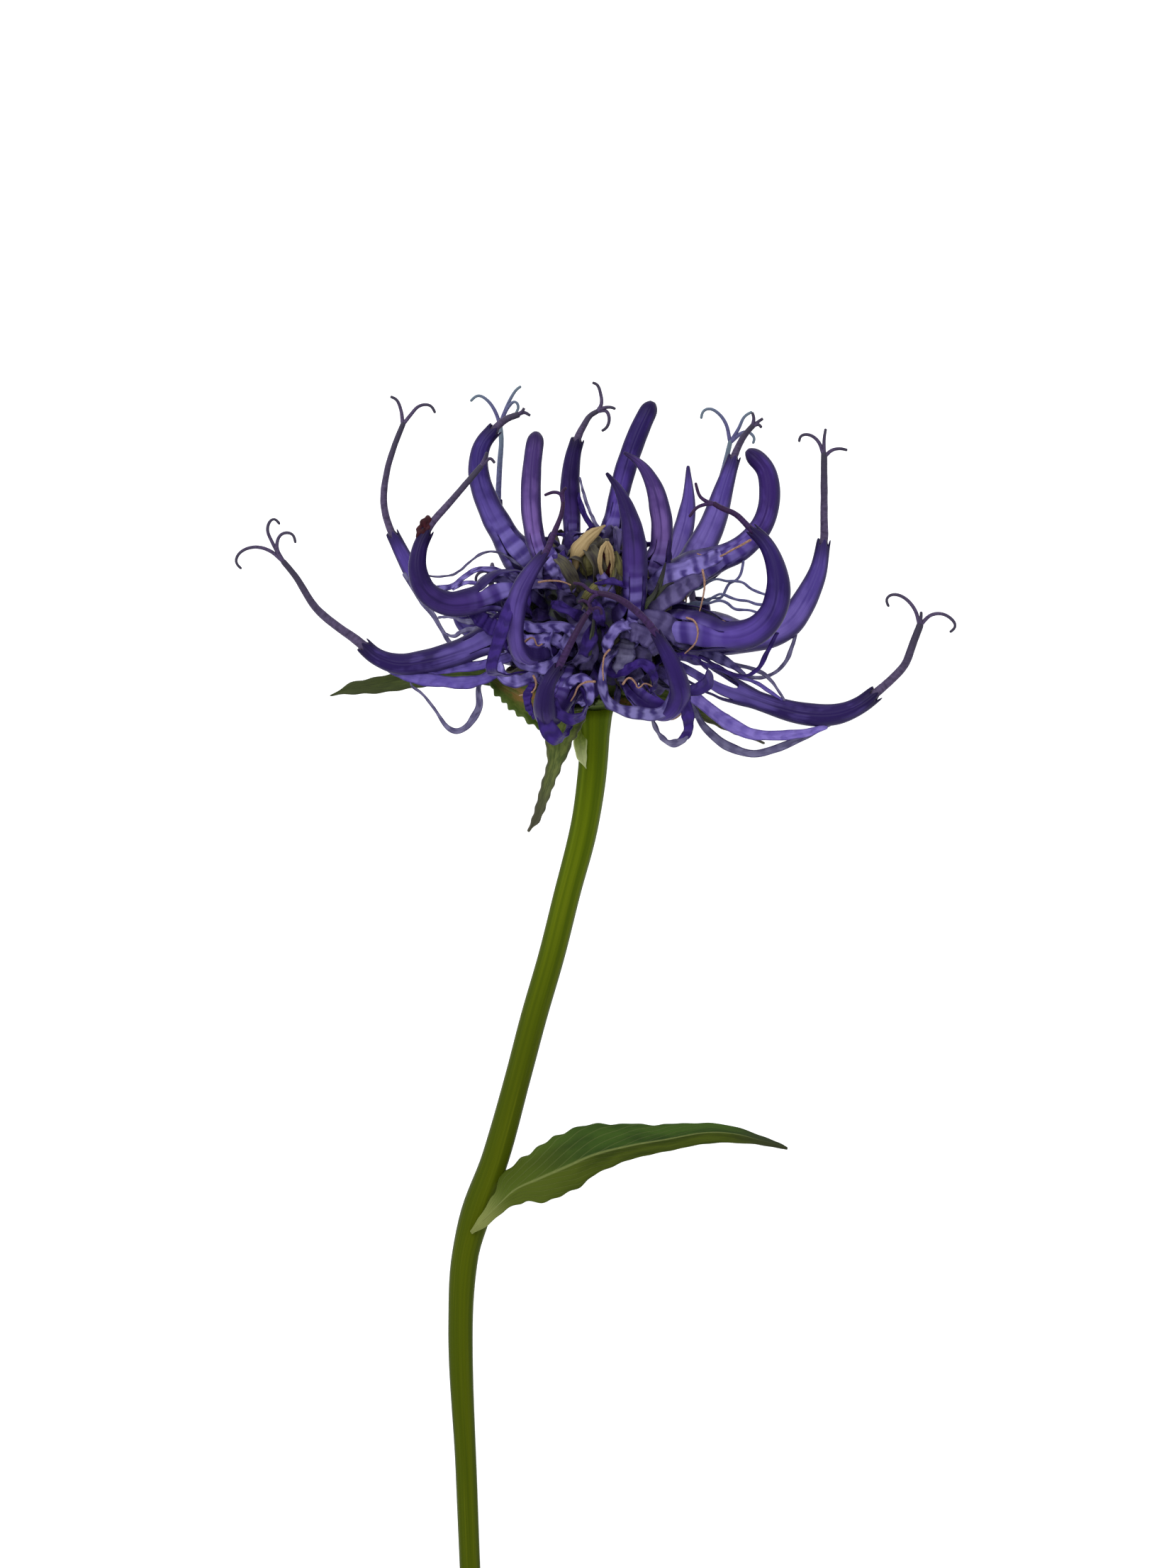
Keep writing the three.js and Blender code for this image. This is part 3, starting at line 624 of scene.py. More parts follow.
def horn_radius(t, end, neck, belly, mouth):
    """The radius in mm along the horn, t from 0 at its neck to 1 at its end."""
    radius = neck + (belly - neck) * soft(t / 0.5)
    if end == "open":
        return radius + (mouth - radius) * soft((t - 0.4) / 0.6)
    if end == "pointed":
        return radius * (1 - soft((t - 0.3) / 0.8)) ** 0.8
    cap = math.sqrt(max(0.01, 1 - max(0, (t - 0.9) / 0.102) ** 2))
    return radius * cap * (1 - 0.2 * t * t)


def drawn_together(x, slit_to):
    """How far the lobes beside a slit lean together, from 0 to 1. The slit closes in a point."""
    top = min(slit_to, SLIT_TO)
    return soft((x / top - 0.5) / 0.45) * (1 - soft((x - SLIT_TO) / SLIT_CLOSES))


def shape_corolla(
    piece, seed, end="open", neck=0.62, belly=0.58, mouth=0.32, bow=0.5, breadth=1.0, slit_to=SLIT_TO
):
    """Sets every vertex of the blank at its radius: bowed straps first, then the horn."""
    draw = random.Random(seed)
    bows = [bow * draw.uniform(0.3, 1.5) for _ in range(LOBES)]
    breadths = [breadth * draw.choice([1.2, 1.2, 1.1, 0.9, 0.4]) for _ in range(LOBES)]
    sways = [draw.uniform(-0.35, 0.35) for _ in range(LOBES)]
    for vertex in piece.data.vertices:
        turn = math.atan2(vertex.co.z, vertex.co.y) / math.tau % 1
        corner = round(turn * COLUMNS) % COLUMNS
        lobe = corner // 4
        offset = corner % 4 - 1.5
        x = vertex.co.x
        if x < slit_to:
            t = x / slit_to
            free = math.sin(math.pi * t)
            radius = ROOT_RADIUS_MM + (neck - ROOT_RADIUS_MM) * soft(t / 0.8) + bows[lobe] * free
            radius += 0.05 * math.sin(x * 92 + lobe * 2) * min(1, 3 * (1 - t))
            share = breadths[lobe] + (1 - breadths[lobe]) * soft((t - 0.7) / 0.3)
            offset *= share * min(1, neck * 1.25 / radius)
            offset += sways[lobe] * free * 3 * min(1, neck / radius)
        else:
            radius = horn_radius((x - slit_to) / (1 - slit_to), end, neck, belly, mouth)
            radius *= 1 - 0.05 * (abs(offset) > 1)
            if end == "open":  # the tips of the lobes stand up around the mouth
                vertex.co.x -= 0.03 * soft((x - 0.9) / 0.1) * (abs(offset) > 1)
        offset *= 1 + drawn_together(x, slit_to) / 3
        angle = (lobe * 4 + 1.5 + offset) / COLUMNS * math.tau
        radius *= 1 + 0.07 * noise.noise((x * 12, angle, seed * 3.7))
        vertex.co.y = radius * MM * math.cos(angle)
        vertex.co.z = radius * MM * math.sin(angle)


print("a lobe is", WALL_MM, "mm thick")

# %% [markdown]
# ## Styles and stigmas
# The style comes out of the horn's mouth and forks in three stigmas, each curled like a crozier.
# They are thin closed tubes. Small random steps in the radius give the downy, knobbly skin.

# %% Style and stigma tubes
style_blank = tube_blank("style_blank", 8, 30)
stigma_blank = tube_blank("stigma_blank", 6, 14)
STYLE_MM = (0.3, 0.18)  # radius at the foot and at the fork
STIGMA_MM = (0.16, 0.11)
STYLE_FINISHES = {"grey": STYLE, "pale": PALE_STYLE, "red": RED_STYLE}


def thread(blank, name, points, radii_mm, seed, rough=0.05):
    """A thin tube along the points, from one radius to the other."""
    draw = random.Random(seed)
    piece = copied(blank, name)
    for vertex in piece.data.vertices:
        t = vertex.co.x
        radius = (radii_mm[0] + (radii_mm[1] - radii_mm[0]) * t) * (1 + draw.uniform(-rough, rough))
        vertex.co.y *= radius * MM
        vertex.co.z *= radius * MM
    return bend(piece, points)


def crozier(fork, forward, aside, size):
    """The points of a stigma in mm after its fork: up, over to one side and back."""
    hook = [(0.16, 0.5), (0.62, 1.0), (1.2, 1.05), (1.58, 0.72), (1.5, 0.28)]
    return [fork + (aside * out + forward * up) * size for out, up in hook]


def style_with_stigmas(name, corolla, style, stigmas, seed, finish, radii_mm):
    """The style from inside the horn to its fork, and the stigmas, joined in one piece."""
    inside = Vector(corolla[-1]).lerp(Vector(corolla[-2]), 0.5)
    route = from_head([inside, corolla[-1], *style])
    parts = [thread(style_blank, name, route, radii_mm, seed, rough=0.06)]
    for k, points in enumerate(stigmas):
        line = [Vector(style[-1]).lerp(Vector(style[-2]), 0.15), *points]
        parts.append(thread(stigma_blank, f"{name}_stigma", from_head(line), STIGMA_MM, seed + k + 1))
    return finished(joined(parts, name), finish)


print("style radius in mm:", STYLE_MM)

# %% [markdown]
# ## The florets that show
# Each floret is a row: the axis of its corolla, the axis of its style and the line of each stigma,
# in millimetres from the head's middle. A floret with no style is still a closed horn, blunt or
# pointed. The stigmas start at the fork, so only the points after it are listed.

# %% Rows of the florets
FLORETS = {
    "far_left": dict(
        corolla=[(-3.7, -0.5, 1.0), (-6.2, -0.9, 1.8), (-8.2, -1.75, 2.2), (-10.4, -2.4, 2.3),
                 (-12.2, -2.6, 2.3), (-13.5, -2.2, 2.3), (-14.6, -1.3, 2.3)],
        style=[(-17.4, 0.9, 2.4), (-18.7, 2.9, 2.6), (-19.6, 4.0, 2.8)],
        stigmas=[
            [(-20.4, 4.6, 2.8), (-21.4, 4.8, 2.9), (-22.3, 4.4, 2.9), (-22.5, 3.8, 2.9),
             (-22.1, 3.4, 2.9)],
            [(-20.2, 5.1, 2.9), (-20.5, 6.0, 3.0), (-20.1, 6.6, 3.0), (-19.7, 6.2, 3.0)],
            [(-19.9, 4.8, 3.2), (-19.6, 5.6, 3.5), (-18.9, 5.6, 3.6), (-18.7, 5.0, 3.6)],
        ],
        tone="ink", slit_to=0.36, neck=0.85, belly=0.72, mouth=0.48, bow=0.25, style_mm=(0.36, 0.2),
    ),
    "upper_left": dict(
        corolla=[(-3.3, -0.6, -2.5), (-6.3, 1.4, -3.8), (-8.9, 1.5, -4.4), (-10.3, 2.0, -4.6),
                 (-11.3, 3.1, -4.5), (-12.05, 4.4, -4.4), (-12.85, 6.0, -4.2)],
        style=[(-13.3, 7.7, -4.1), (-13.1, 9.8, -4.0), (-12.6, 11.5, -4.0), (-12.0, 13.0, -4.0)],
        stigmas=[
            [(-12.2, 13.7, -4.0), (-12.5, 14.4, -4.0), (-12.9, 14.6, -4.0)],
            [(-11.6, 13.4, -4.0), (-11.0, 14.0, -3.9), (-10.3, 14.0, -3.9), (-10.0, 13.5, -3.9)],
        ],
        tone="light", slit_to=0.42, neck=0.5, belly=0.6, mouth=0.4, bow=0.4, style_mm=(0.28, 0.19),
    ),
    "left": dict(
        corolla=[(-3.6, 0.6, 2.5), (-5.8, 1.9, 3.6), (-7.6, 1.35, 4.5), (-9.2, 1.2, 5.1),
                 (-10.4, 1.9, 5.3), (-10.95, 3.1, 5.4), (-10.9, 4.5, 5.4), (-10.3, 5.9, 5.3)],
        style=[(-8.8, 7.7, 5.4), (-7.5, 9.2, 5.5), (-6.9, 9.9, 5.6)],
        stigmas=[
            [(-6.6, 10.2, 5.6), (-6.4, 10.3, 5.6), (-6.1, 10.0, 5.6)],
            [(-6.7, 10.4, 5.7), (-6.6, 10.7, 5.8)],
        ],
        tone="dark", slit_to=0.4, neck=0.88, belly=0.68, mouth=0.4, bow=0.75, breadth=0.65,
        style_mm=(0.28, 0.2),
    ),
    "crown_left": dict(
        corolla=[(-2.7, 1.3, -0.5), (-4.2, 3.4, -0.5), (-5.4, 5.4, -0.3), (-6.6, 7.6, 0), (-7.2, 9.6, 0),
                 (-7.0, 11.3, 0), (-6.05, 12.5, 0)],
        style=[(-5.4, 13.0, 0.1), (-4.6, 13.3, 0.2)],
        stigmas=[
            [(-4.3, 13.4, 0.2), (-3.9, 13.2, 0.2)],
            [(-4.4, 13.5, 0.3), (-4.3, 13.7, 0.3)],
        ],
        tone="blue", slit_to=0.38, neck=0.88, belly=0.7, mouth=0.46, bow=0.5, style_mm=(0.3, 0.22),
    ),
    "crown_left_back": dict(
        corolla=[(-2.5, 1.6, -3.0), (-4.5, 3.6, -4.5), (-5.7, 5.0, -5.2), (-6.0, 6.5, -5.3),
                 (-6.0, 8.1, -5.2)],
        style=[(-5.9, 10.3, -5.1), (-5.8, 11.9, -5.0), (-5.9, 13.0, -5.0)],
        stigmas=[
            [(-6.2, 13.7, -5.0), (-6.7, 14.4, -5.0), (-7.3, 14.7, -5.0), (-7.8, 14.3, -5.0)],
            [(-5.6, 13.6, -4.9), (-5.2, 14.5, -4.9), (-4.8, 15.1, -4.9), (-4.5, 15.3, -4.9)],
            [(-5.3, 14.0, -4.6), (-4.9, 14.3, -4.5), (-4.7, 13.9, -4.5), (-4.9, 13.5, -4.5)],
        ],
        tone="pale", neck=0.5, belly=0.46, mouth=0.24, style_mm=(0.22, 0.17), style_finish="pale",
    ),
    "bud_left": dict(
        corolla=[(-1.7, 1.3, 1.5), (-2.7, 3.1, 2.5), (-3.5, 5.0, 3.2), (-3.85, 7.2, 3.5),
                 (-3.8, 9.7, 3.3), (-3.5, 12.1, 2.8)],
        end="blunt", tone="purple", slit_to=0.3, neck=0.6, belly=0.63, bow=0.2,
    ),
    "crown_mid": dict(
        corolla=[(-0.6, 1.8, -1.5), (-1.2, 4.5, -2.2), (-1.3, 6.8, -2.5), (-1.4, 9.0, -2.5),
                 (-1.2, 10.8, -2.4), (-0.9, 11.9, -2.3)],
        style=[(-0.5, 12.7, -2.2), (-0.1, 13.3, -2.2), (0.4, 13.6, -2.1)],
        stigmas=[
            [(0.6, 14.0, -2.1), (0.55, 14.7, -2.1), (0.3, 15.3, -2.1), (0.0, 15.4, -2.1)],
            [(0.8, 13.8, -2.0), (1.3, 13.8, -1.9), (1.5, 13.7, -1.8)],
            [(0.9, 13.6, -2.1), (1.1, 13.0, -2.1), (0.9, 12.5, -2.1), (0.6, 12.3, -2.1)],
        ],
        tone="dark", slit_to=0.35, neck=0.52, belly=0.62, mouth=0.42, bow=0.3, style_mm=(0.3, 0.17),
    ),
    "bud_tall": dict(
        corolla=[(0.7, 1.9, -1.0), (1.1, 5.2, -1.8), (1.6, 7.7, -2.0), (2.1, 9.8, -2.0),
                 (2.9, 12.1, -2.0), (3.9, 14.2, -2.0)],
        end="blunt", tone="violet", slit_to=0.35, neck=0.6, belly=0.67, bow=0.3,
    ),
    "bud_mid": dict(
        corolla=[(2.2, 1.3, 1.5), (3.8, 3.2, 2.2), (4.4, 5.2, 2.8), (4.3, 7.1, 3.0), (3.8, 8.9, 3.0),
                 (3.0, 10.1, 2.8), (2.0, 10.8, 2.6)],
        end="pointed", tone="purple", slit_to=0.36, neck=0.66, belly=0.66, bow=0.3,
    ),
    "bud_front": dict(
        corolla=[(2.0, -0.4, 3.2), (2.6, 1.1, 5.0), (2.7, 3.4, 6.0), (2.6, 5.4, 6.3), (2.2, 7.1, 6.2),
                 (1.7, 8.3, 6.0), (0.9, 9.4, 5.8)],
        end="pointed", tone="dark", slit_to=0.25, neck=0.74, belly=0.8, bow=0.3,
    ),
    "bud_back_right": dict(
        corolla=[(2.5, 1.3, -3.0), (4.9, 3.7, -4.0), (5.75, 5.8, -4.3), (6.15, 7.8, -4.4),
                 (6.15, 10.2, -4.3)],
        end="pointed", tone="pale", slit_to=0.35, neck=0.56, belly=0.68, bow=0.3,
    ),
    "crown_right": dict(
        corolla=[(3.1, 0.9, -1.0), (5.7, 2.9, -1.6), (7.0, 5.0, -1.8), (7.9, 7.0, -1.8), (8.5, 9.0, -1.8),
                 (9.1, 10.8, -1.8)],
        style=[(9.7, 12.0, -1.7), (10.3, 12.7, -1.6)],
        stigmas=[
            [(10.6, 12.9, -1.6), (10.9, 13.1, -1.6)],
            [(10.3, 13.1, -1.5), (10.2, 13.5, -1.5)],
            [(10.6, 12.7, -1.5), (10.8, 12.5, -1.4)],
        ],
        tone="light", slit_to=0.38, neck=1.0, belly=0.76, mouth=0.4, bow=0.5, style_mm=(0.28, 0.2),
    ),
    "crown_right_back": dict(
        corolla=[(2.9, 1.3, -3.6), (5.8, 3.4, -5.2), (7.2, 5.4, -5.8), (7.9, 7.4, -6.0),
                 (8.2, 9.0, -6.0)],
        style=[(8.6, 10.6, -5.9), (8.9, 11.9, -5.8)],
        stigmas=[
            [(8.6, 12.9, -5.8), (8.1, 13.6, -5.8), (7.5, 13.9, -5.8), (7.1, 13.7, -5.8),
             (7.0, 13.2, -5.8)],
            [(9.4, 12.6, -5.7), (9.8, 13.4, -5.7), (10.3, 13.7, -5.7)],
            [(9.9, 12.4, -5.5), (10.4, 12.0, -5.4), (10.3, 11.6, -5.4)],
        ],
        tone="blue", neck=0.5, belly=0.46, mouth=0.24, style_mm=(0.22, 0.17), style_finish="pale",
    ),
    "claw_right": dict(
        corolla=[(3.1, 1.0, 0.6), (5.4, 2.9, 0.8), (7.6, 3.9, 1.0), (9.6, 4.9, 1.2), (10.8, 6.3, 1.3),
                 (11.25, 8.0, 1.3), (10.95, 9.8, 1.2), (9.8, 11.0, 1.1)],
        end="blunt", tone="claw", slit_to=0.42, neck=0.8, belly=0.68, bow=0.4,
    ),
    "right": dict(
        corolla=[(3.8, 0, 3.0), (6.5, -0.4, 4.4), (8.6, -0.85, 5.2), (10.2, -0.55, 5.8), (11.3, 0.5, 6.1),
                 (11.7, 2.0, 6.2), (11.55, 3.5, 6.2), (10.95, 4.9, 6.0), (9.9, 5.95, 5.8)],
        style=[(9.0, 6.8, 5.8), (8.1, 7.2, 5.8), (7.6, 7.5, 5.8)],
        stigmas=[
            [(7.2, 7.6, 5.8), (6.8, 7.9, 5.8), (6.5, 8.8, 5.8)],
            [(7.1, 7.4, 5.9), (6.6, 7.2, 6.0), (6.1, 6.6, 6.0)],
        ],
        tone="violet", slit_to=0.4, neck=0.95, belly=0.82, mouth=0.38, bow=0.5,
        style_mm=(0.24, 0.18), style_finish="red",
    ),
    "outer_right": dict(
        corolla=[(3.6, -0.7, -0.6), (7.4, -0.7, -1.4), (10.1, -0.8, -1.9), (12.3, -0.1, -2.2),
                 (13.6, 1.6, -2.4), (14.4, 3.4, -2.5), (14.8, 5.5, -2.5)],
        style=[(14.8, 6.9, -2.5), (14.8, 8.8, -2.5), (14.8, 11.0, -2.4)],
        stigmas=[
            [(14.4, 11.7, -2.4), (13.8, 12.1, -2.4), (13.3, 12.0, -2.4), (13.2, 11.6, -2.4)],
            [(14.8, 11.8, -2.3), (14.9, 12.5, -2.3)],
            [(15.3, 11.1, -2.3), (15.8, 11.2, -2.3), (16.3, 11.1, -2.3)],
        ],
        tone="light", slit_to=0.42, neck=1.0, belly=0.84, mouth=0.42, bow=0.6, style_mm=(0.3, 0.23),
    ),
    "far_right": dict(
        corolla=[(3.8, -1.6, 0.5), (6.3, -2.7, 0.9), (8.6, -4.05, 1.3), (11.0, -5.05, 1.6),
                 (13.3, -5.7, 1.8), (15.5, -5.75, 2.0), (17.0, -5.15, 2.0), (18.1, -4.3, 2.0)],
        style=[(18.9, -3.6, 2.0), (19.8, -2.6, 2.1), (20.3, -1.3, 2.2), (20.8, 0.0, 2.3)],
        stigmas=[
            [(20.4, 0.9, 2.3), (19.6, 1.7, 2.3), (18.9, 1.8, 2.3), (18.6, 1.5, 2.3), (18.8, 1.0, 2.3)],
            [(21.4, 0.5, 2.3), (22.1, 0.6, 2.3), (22.7, 0.3, 2.3), (23.0, -0.2, 2.3), (22.6, -0.6, 2.3)],
            [(20.8, 0.4, 2.6), (20.8, 0.7, 2.9)],
        ],
        tone="ink", slit_to=0.5, neck=0.58, belly=0.72, mouth=0.5, bow=0.3, breadth=0.75,
        style_mm=(0.32, 0.26),
    ),
    "front_left": dict(
        corolla=[(-1.3, -0.4, 3.5), (-3.3, -2.0, 5.6), (-4.5, -1.9, 7.3), (-4.85, -0.3, 8.4),
                 (-4.6, 1.6, 9.0), (-3.7, 3.3, 8.8), (-2.9, 4.3, 8.4)],
        style=[(-2.4, 5.5, 8.3), (-1.9, 6.8, 8.2), (-1.8, 7.6, 8.1)],
        stigmas=[
            [(-2.0, 8.0, 8.1), (-2.4, 8.1, 8.1), (-3.0, 7.9, 8.1)],
            [(-1.8, 8.2, 8.2), (-1.6, 8.4, 8.3)],
        ],
        tone="young", slit_to=0.5, neck=0.5, belly=0.64, mouth=0.34, bow=0.3,
        style_mm=(0.26, 0.14), style_finish="red",
    ),
    "front_right": dict(
        corolla=[(2.0, -2.5, 3.8), (3.1, -4.7, 5.0), (4.7, -5.6, 6.6), (5.5, -4.6, 7.8), (5.3, -3.4, 8.7),
                 (4.8, -2.2, 9.0), (3.9, -0.6, 9.1)],
        style=[(2.7, 0.7, 9.2), (1.5, 1.5, 9.2), (0.3, 1.8, 9.0)],
        stigmas=[
            [(-0.1, 1.9, 9.0), (-0.6, 2.3, 8.9), (-1.2, 2.4, 8.7)],
            [(0.0, 1.5, 9.1), (-0.2, 1.0, 9.2), (0.1, 0.7, 9.2)],
        ],
        tone="indigo", slit_to=0.48, neck=0.62, belly=0.62, mouth=0.34, bow=0.2, breadth=0.6,
        style_mm=(0.3, 0.2), style_finish="red",
    ),
    "front_low": dict(
        corolla=[(-0.9, -2.7, 3.6), (-1.8, -4.7, 5.0), (-2.7, -5.9, 6.6), (-3.0, -5.2, 7.8),
                 (-2.8, -4.0, 8.4), (-2.0, -2.7, 8.6)],
        style=[(-1.6, -1.9, 8.8), (-1.0, -0.7, 8.9), (-0.3, 0.5, 8.8)],
        stigmas=[
            [(-0.1, 0.9, 8.8), (-0.5, 1.3, 8.8), (-0.9, 1.2, 8.8)],
            [(0.1, 0.8, 8.9), (0.5, 0.8, 9.0), (0.6, 0.4, 9.0)],
        ],
        tone="dark", slit_to=0.4, neck=0.72, belly=0.7, mouth=0.36, bow=0.3, breadth=0.8,
        style_mm=(0.28, 0.2), style_finish="red",
    ),
}


print("florets in the list:", len(FLORETS))

# %% Florets
def rooted(points):
    """The same axis, with its root drawn to where all florets start."""
    return [tuple(Vector(points[0]).normalized() * ROOT_MM), *points[1:]]


def make_floret(
    name, seed, corolla, style=(), stigmas=(), tone="blue", style_mm=STYLE_MM, style_finish="grey", **form
):
    """The corolla and, if its row has one, the style with its stigmas."""
    corolla = rooted(corolla)
    horn = copied(slit_blank, f"corolla_{name}")
    shape_corolla(horn, seed, **form)
    bend(horn, from_head(corolla), from_tip=True)
    pieces = [placed(finished(horn, TONES[tone], thickness_mm=WALL_MM))]
    if style:
        finish = STYLE_FINISHES[style_finish]
        made = style_with_stigmas(f"style_{name}", corolla, style, stigmas, seed, finish, style_mm)
        pieces.append(placed(made))
    return pieces


florets = []
for seed, (name, row) in enumerate(FLORETS.items(), start=FLORET_SEED):
    florets += make_floret(name, seed, **row)
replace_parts(florets[0], "flower_head")
print("pieces of the florets that show:", len(florets))

# %% [markdown]
# ## The florets on the surface's side
# The camera doesn't see these, but other views do. They fan out by a rule: an angle round the head's
# axis, a reach, how far each sags and how high its mouth is. The lowest bends lie flat on the surface.

# %% Under florets
AXIS = Vector((-0.03, 0.975, 0.22)).normalized()  # from the stem to the crown
SIDE = (Vector((1, 0, 0)) - AXIS * AXIS.x).normalized()
FRONT = SIDE.cross(AXIS)  # away from the surface
UNDER_FLORETS = [  # angle in degrees; reach, sag and the mouth's height in mm; tone
    (204, 9.4, -1.2, 1.4, "blue"), (220, 9.0, -1.2, 1.6, "violet"), (234, 12.4, -3.4, -0.6, "blue"),
    (253, 10.0, -1.8, 0.6, "dark"), (270, 11.2, -3.2, 0.2, "blue"), (288, 10.0, -1.6, 0.8, "violet"),
    (305, 12.4, -3.4, -0.6, "blue"), (327, 8.6, -1.8, 0.6, "dark"),
]
STILL_CLOSED = (204, 220, 327)
for number, (angle, reach, sag, climb, tone) in enumerate(UNDER_FLORETS, start=1):
    away = SIDE * math.cos(math.radians(angle)) + FRONT * math.sin(math.radians(angle))
    bends = [(3.4, sag * 0.3), (reach * 0.66, sag), (reach * 0.93, sag + 0.5), (reach, sag + 2.0)]
    corolla = [tuple(away * out + AXIS * up) for out, up in [*bends, (reach * 0.92, climb)]]
    if angle in STILL_CLOSED:
        make_floret(f"under_{number}", UNDER_SEED + number, corolla, tone=tone, end="pointed")
        continue
    upward = [(0.9, climb + 0.9), (0.88, climb + 1.7)]
    style = [tuple(away * reach * share + AXIS * up) for share, up in upward]
    fork = Vector(style[-1])
    forward = (fork - Vector(style[-2])).normalized()
    across = forward.cross(away).normalized()
    third = (across * -0.5 + across.cross(forward) * 0.87).normalized()
    sides = [(across, 0.85), (third, 0.8), ((-across - third).normalized(), 0.85)]
    hooks = [crozier(fork, forward, aside, size) for aside, size in sides]
    make_floret(f"under_{number}", UNDER_SEED + number, corolla, style, hooks, tone=tone, bow=0.6)
print("under florets:", len(UNDER_FLORETS), "of which closed:", len(STILL_CLOSED))

# %% [markdown]
# ## Loose lobes
# Some lobes have come off their horn at one end and hang in a loop, like ribbons. A ribbon is a
# narrow blade, hollowed a little along its middle and bent along its own line.

# %% Ribbons
ribbon_blank = blade_blank("ribbon_blank", 4, 36)
short_blank = blade_blank("short_blank", 3, 14)


def even_steps(values):
    """As many even steps from 0 to 1 as there are values."""
    return [i / (len(values) - 1) for i in range(len(values))]


def read_off(steps, values, t):
    """The value at t, between the two listed ones that it lies between."""
    for low, high, a, b in zip(steps, steps[1:], values, values[1:]):
        if t <= high:
            return a + (b - a) * soft((t - low) / (high - low))
    return values[-1]


def ribbon(
    name, points, widths_mm, finish, facing, seed, trough=0.2, ripple=0.05, ragged=0.02, blank=ribbon_blank
):
    """A strap of petal along points in mm. Its half-widths are listed at even steps."""
    own_draw = random.Random(seed)
    phase = own_draw.uniform(0, 6)
    piece = copied(blank, name)
    steps = even_steps(widths_mm)
    length_cm = sum((Vector(b) - Vector(a)).length for a, b in zip(points, points[1:])) / 10
    for vertex in piece.data.vertices:
        x, y = vertex.co.x, vertex.co.y
        width = read_off(steps, widths_mm, x)
        hollow = trough * width * (y * y - 0.4) + ripple * math.sin(x * 48 + phase + y)
        wavering = y * width * (1 + 0.1 * math.sin(x * 21 + phase))
        vertex.co.y = (wavering + own_draw.uniform(-ragged, ragged)) * MM
        vertex.co.z = (hollow + own_draw.uniform(-ragged, ragged)) * MM
    for corner in piece.data.uv_layers["UVMap"].data:
        corner.uv.y = corner.uv.y * length_cm + phase
    return finished(bend(piece, from_head(points), facing), finish, thickness_mm=WALL_MM)


print("faces of a ribbon before it is smoothed:", len(ribbon_blank.data.polygons))

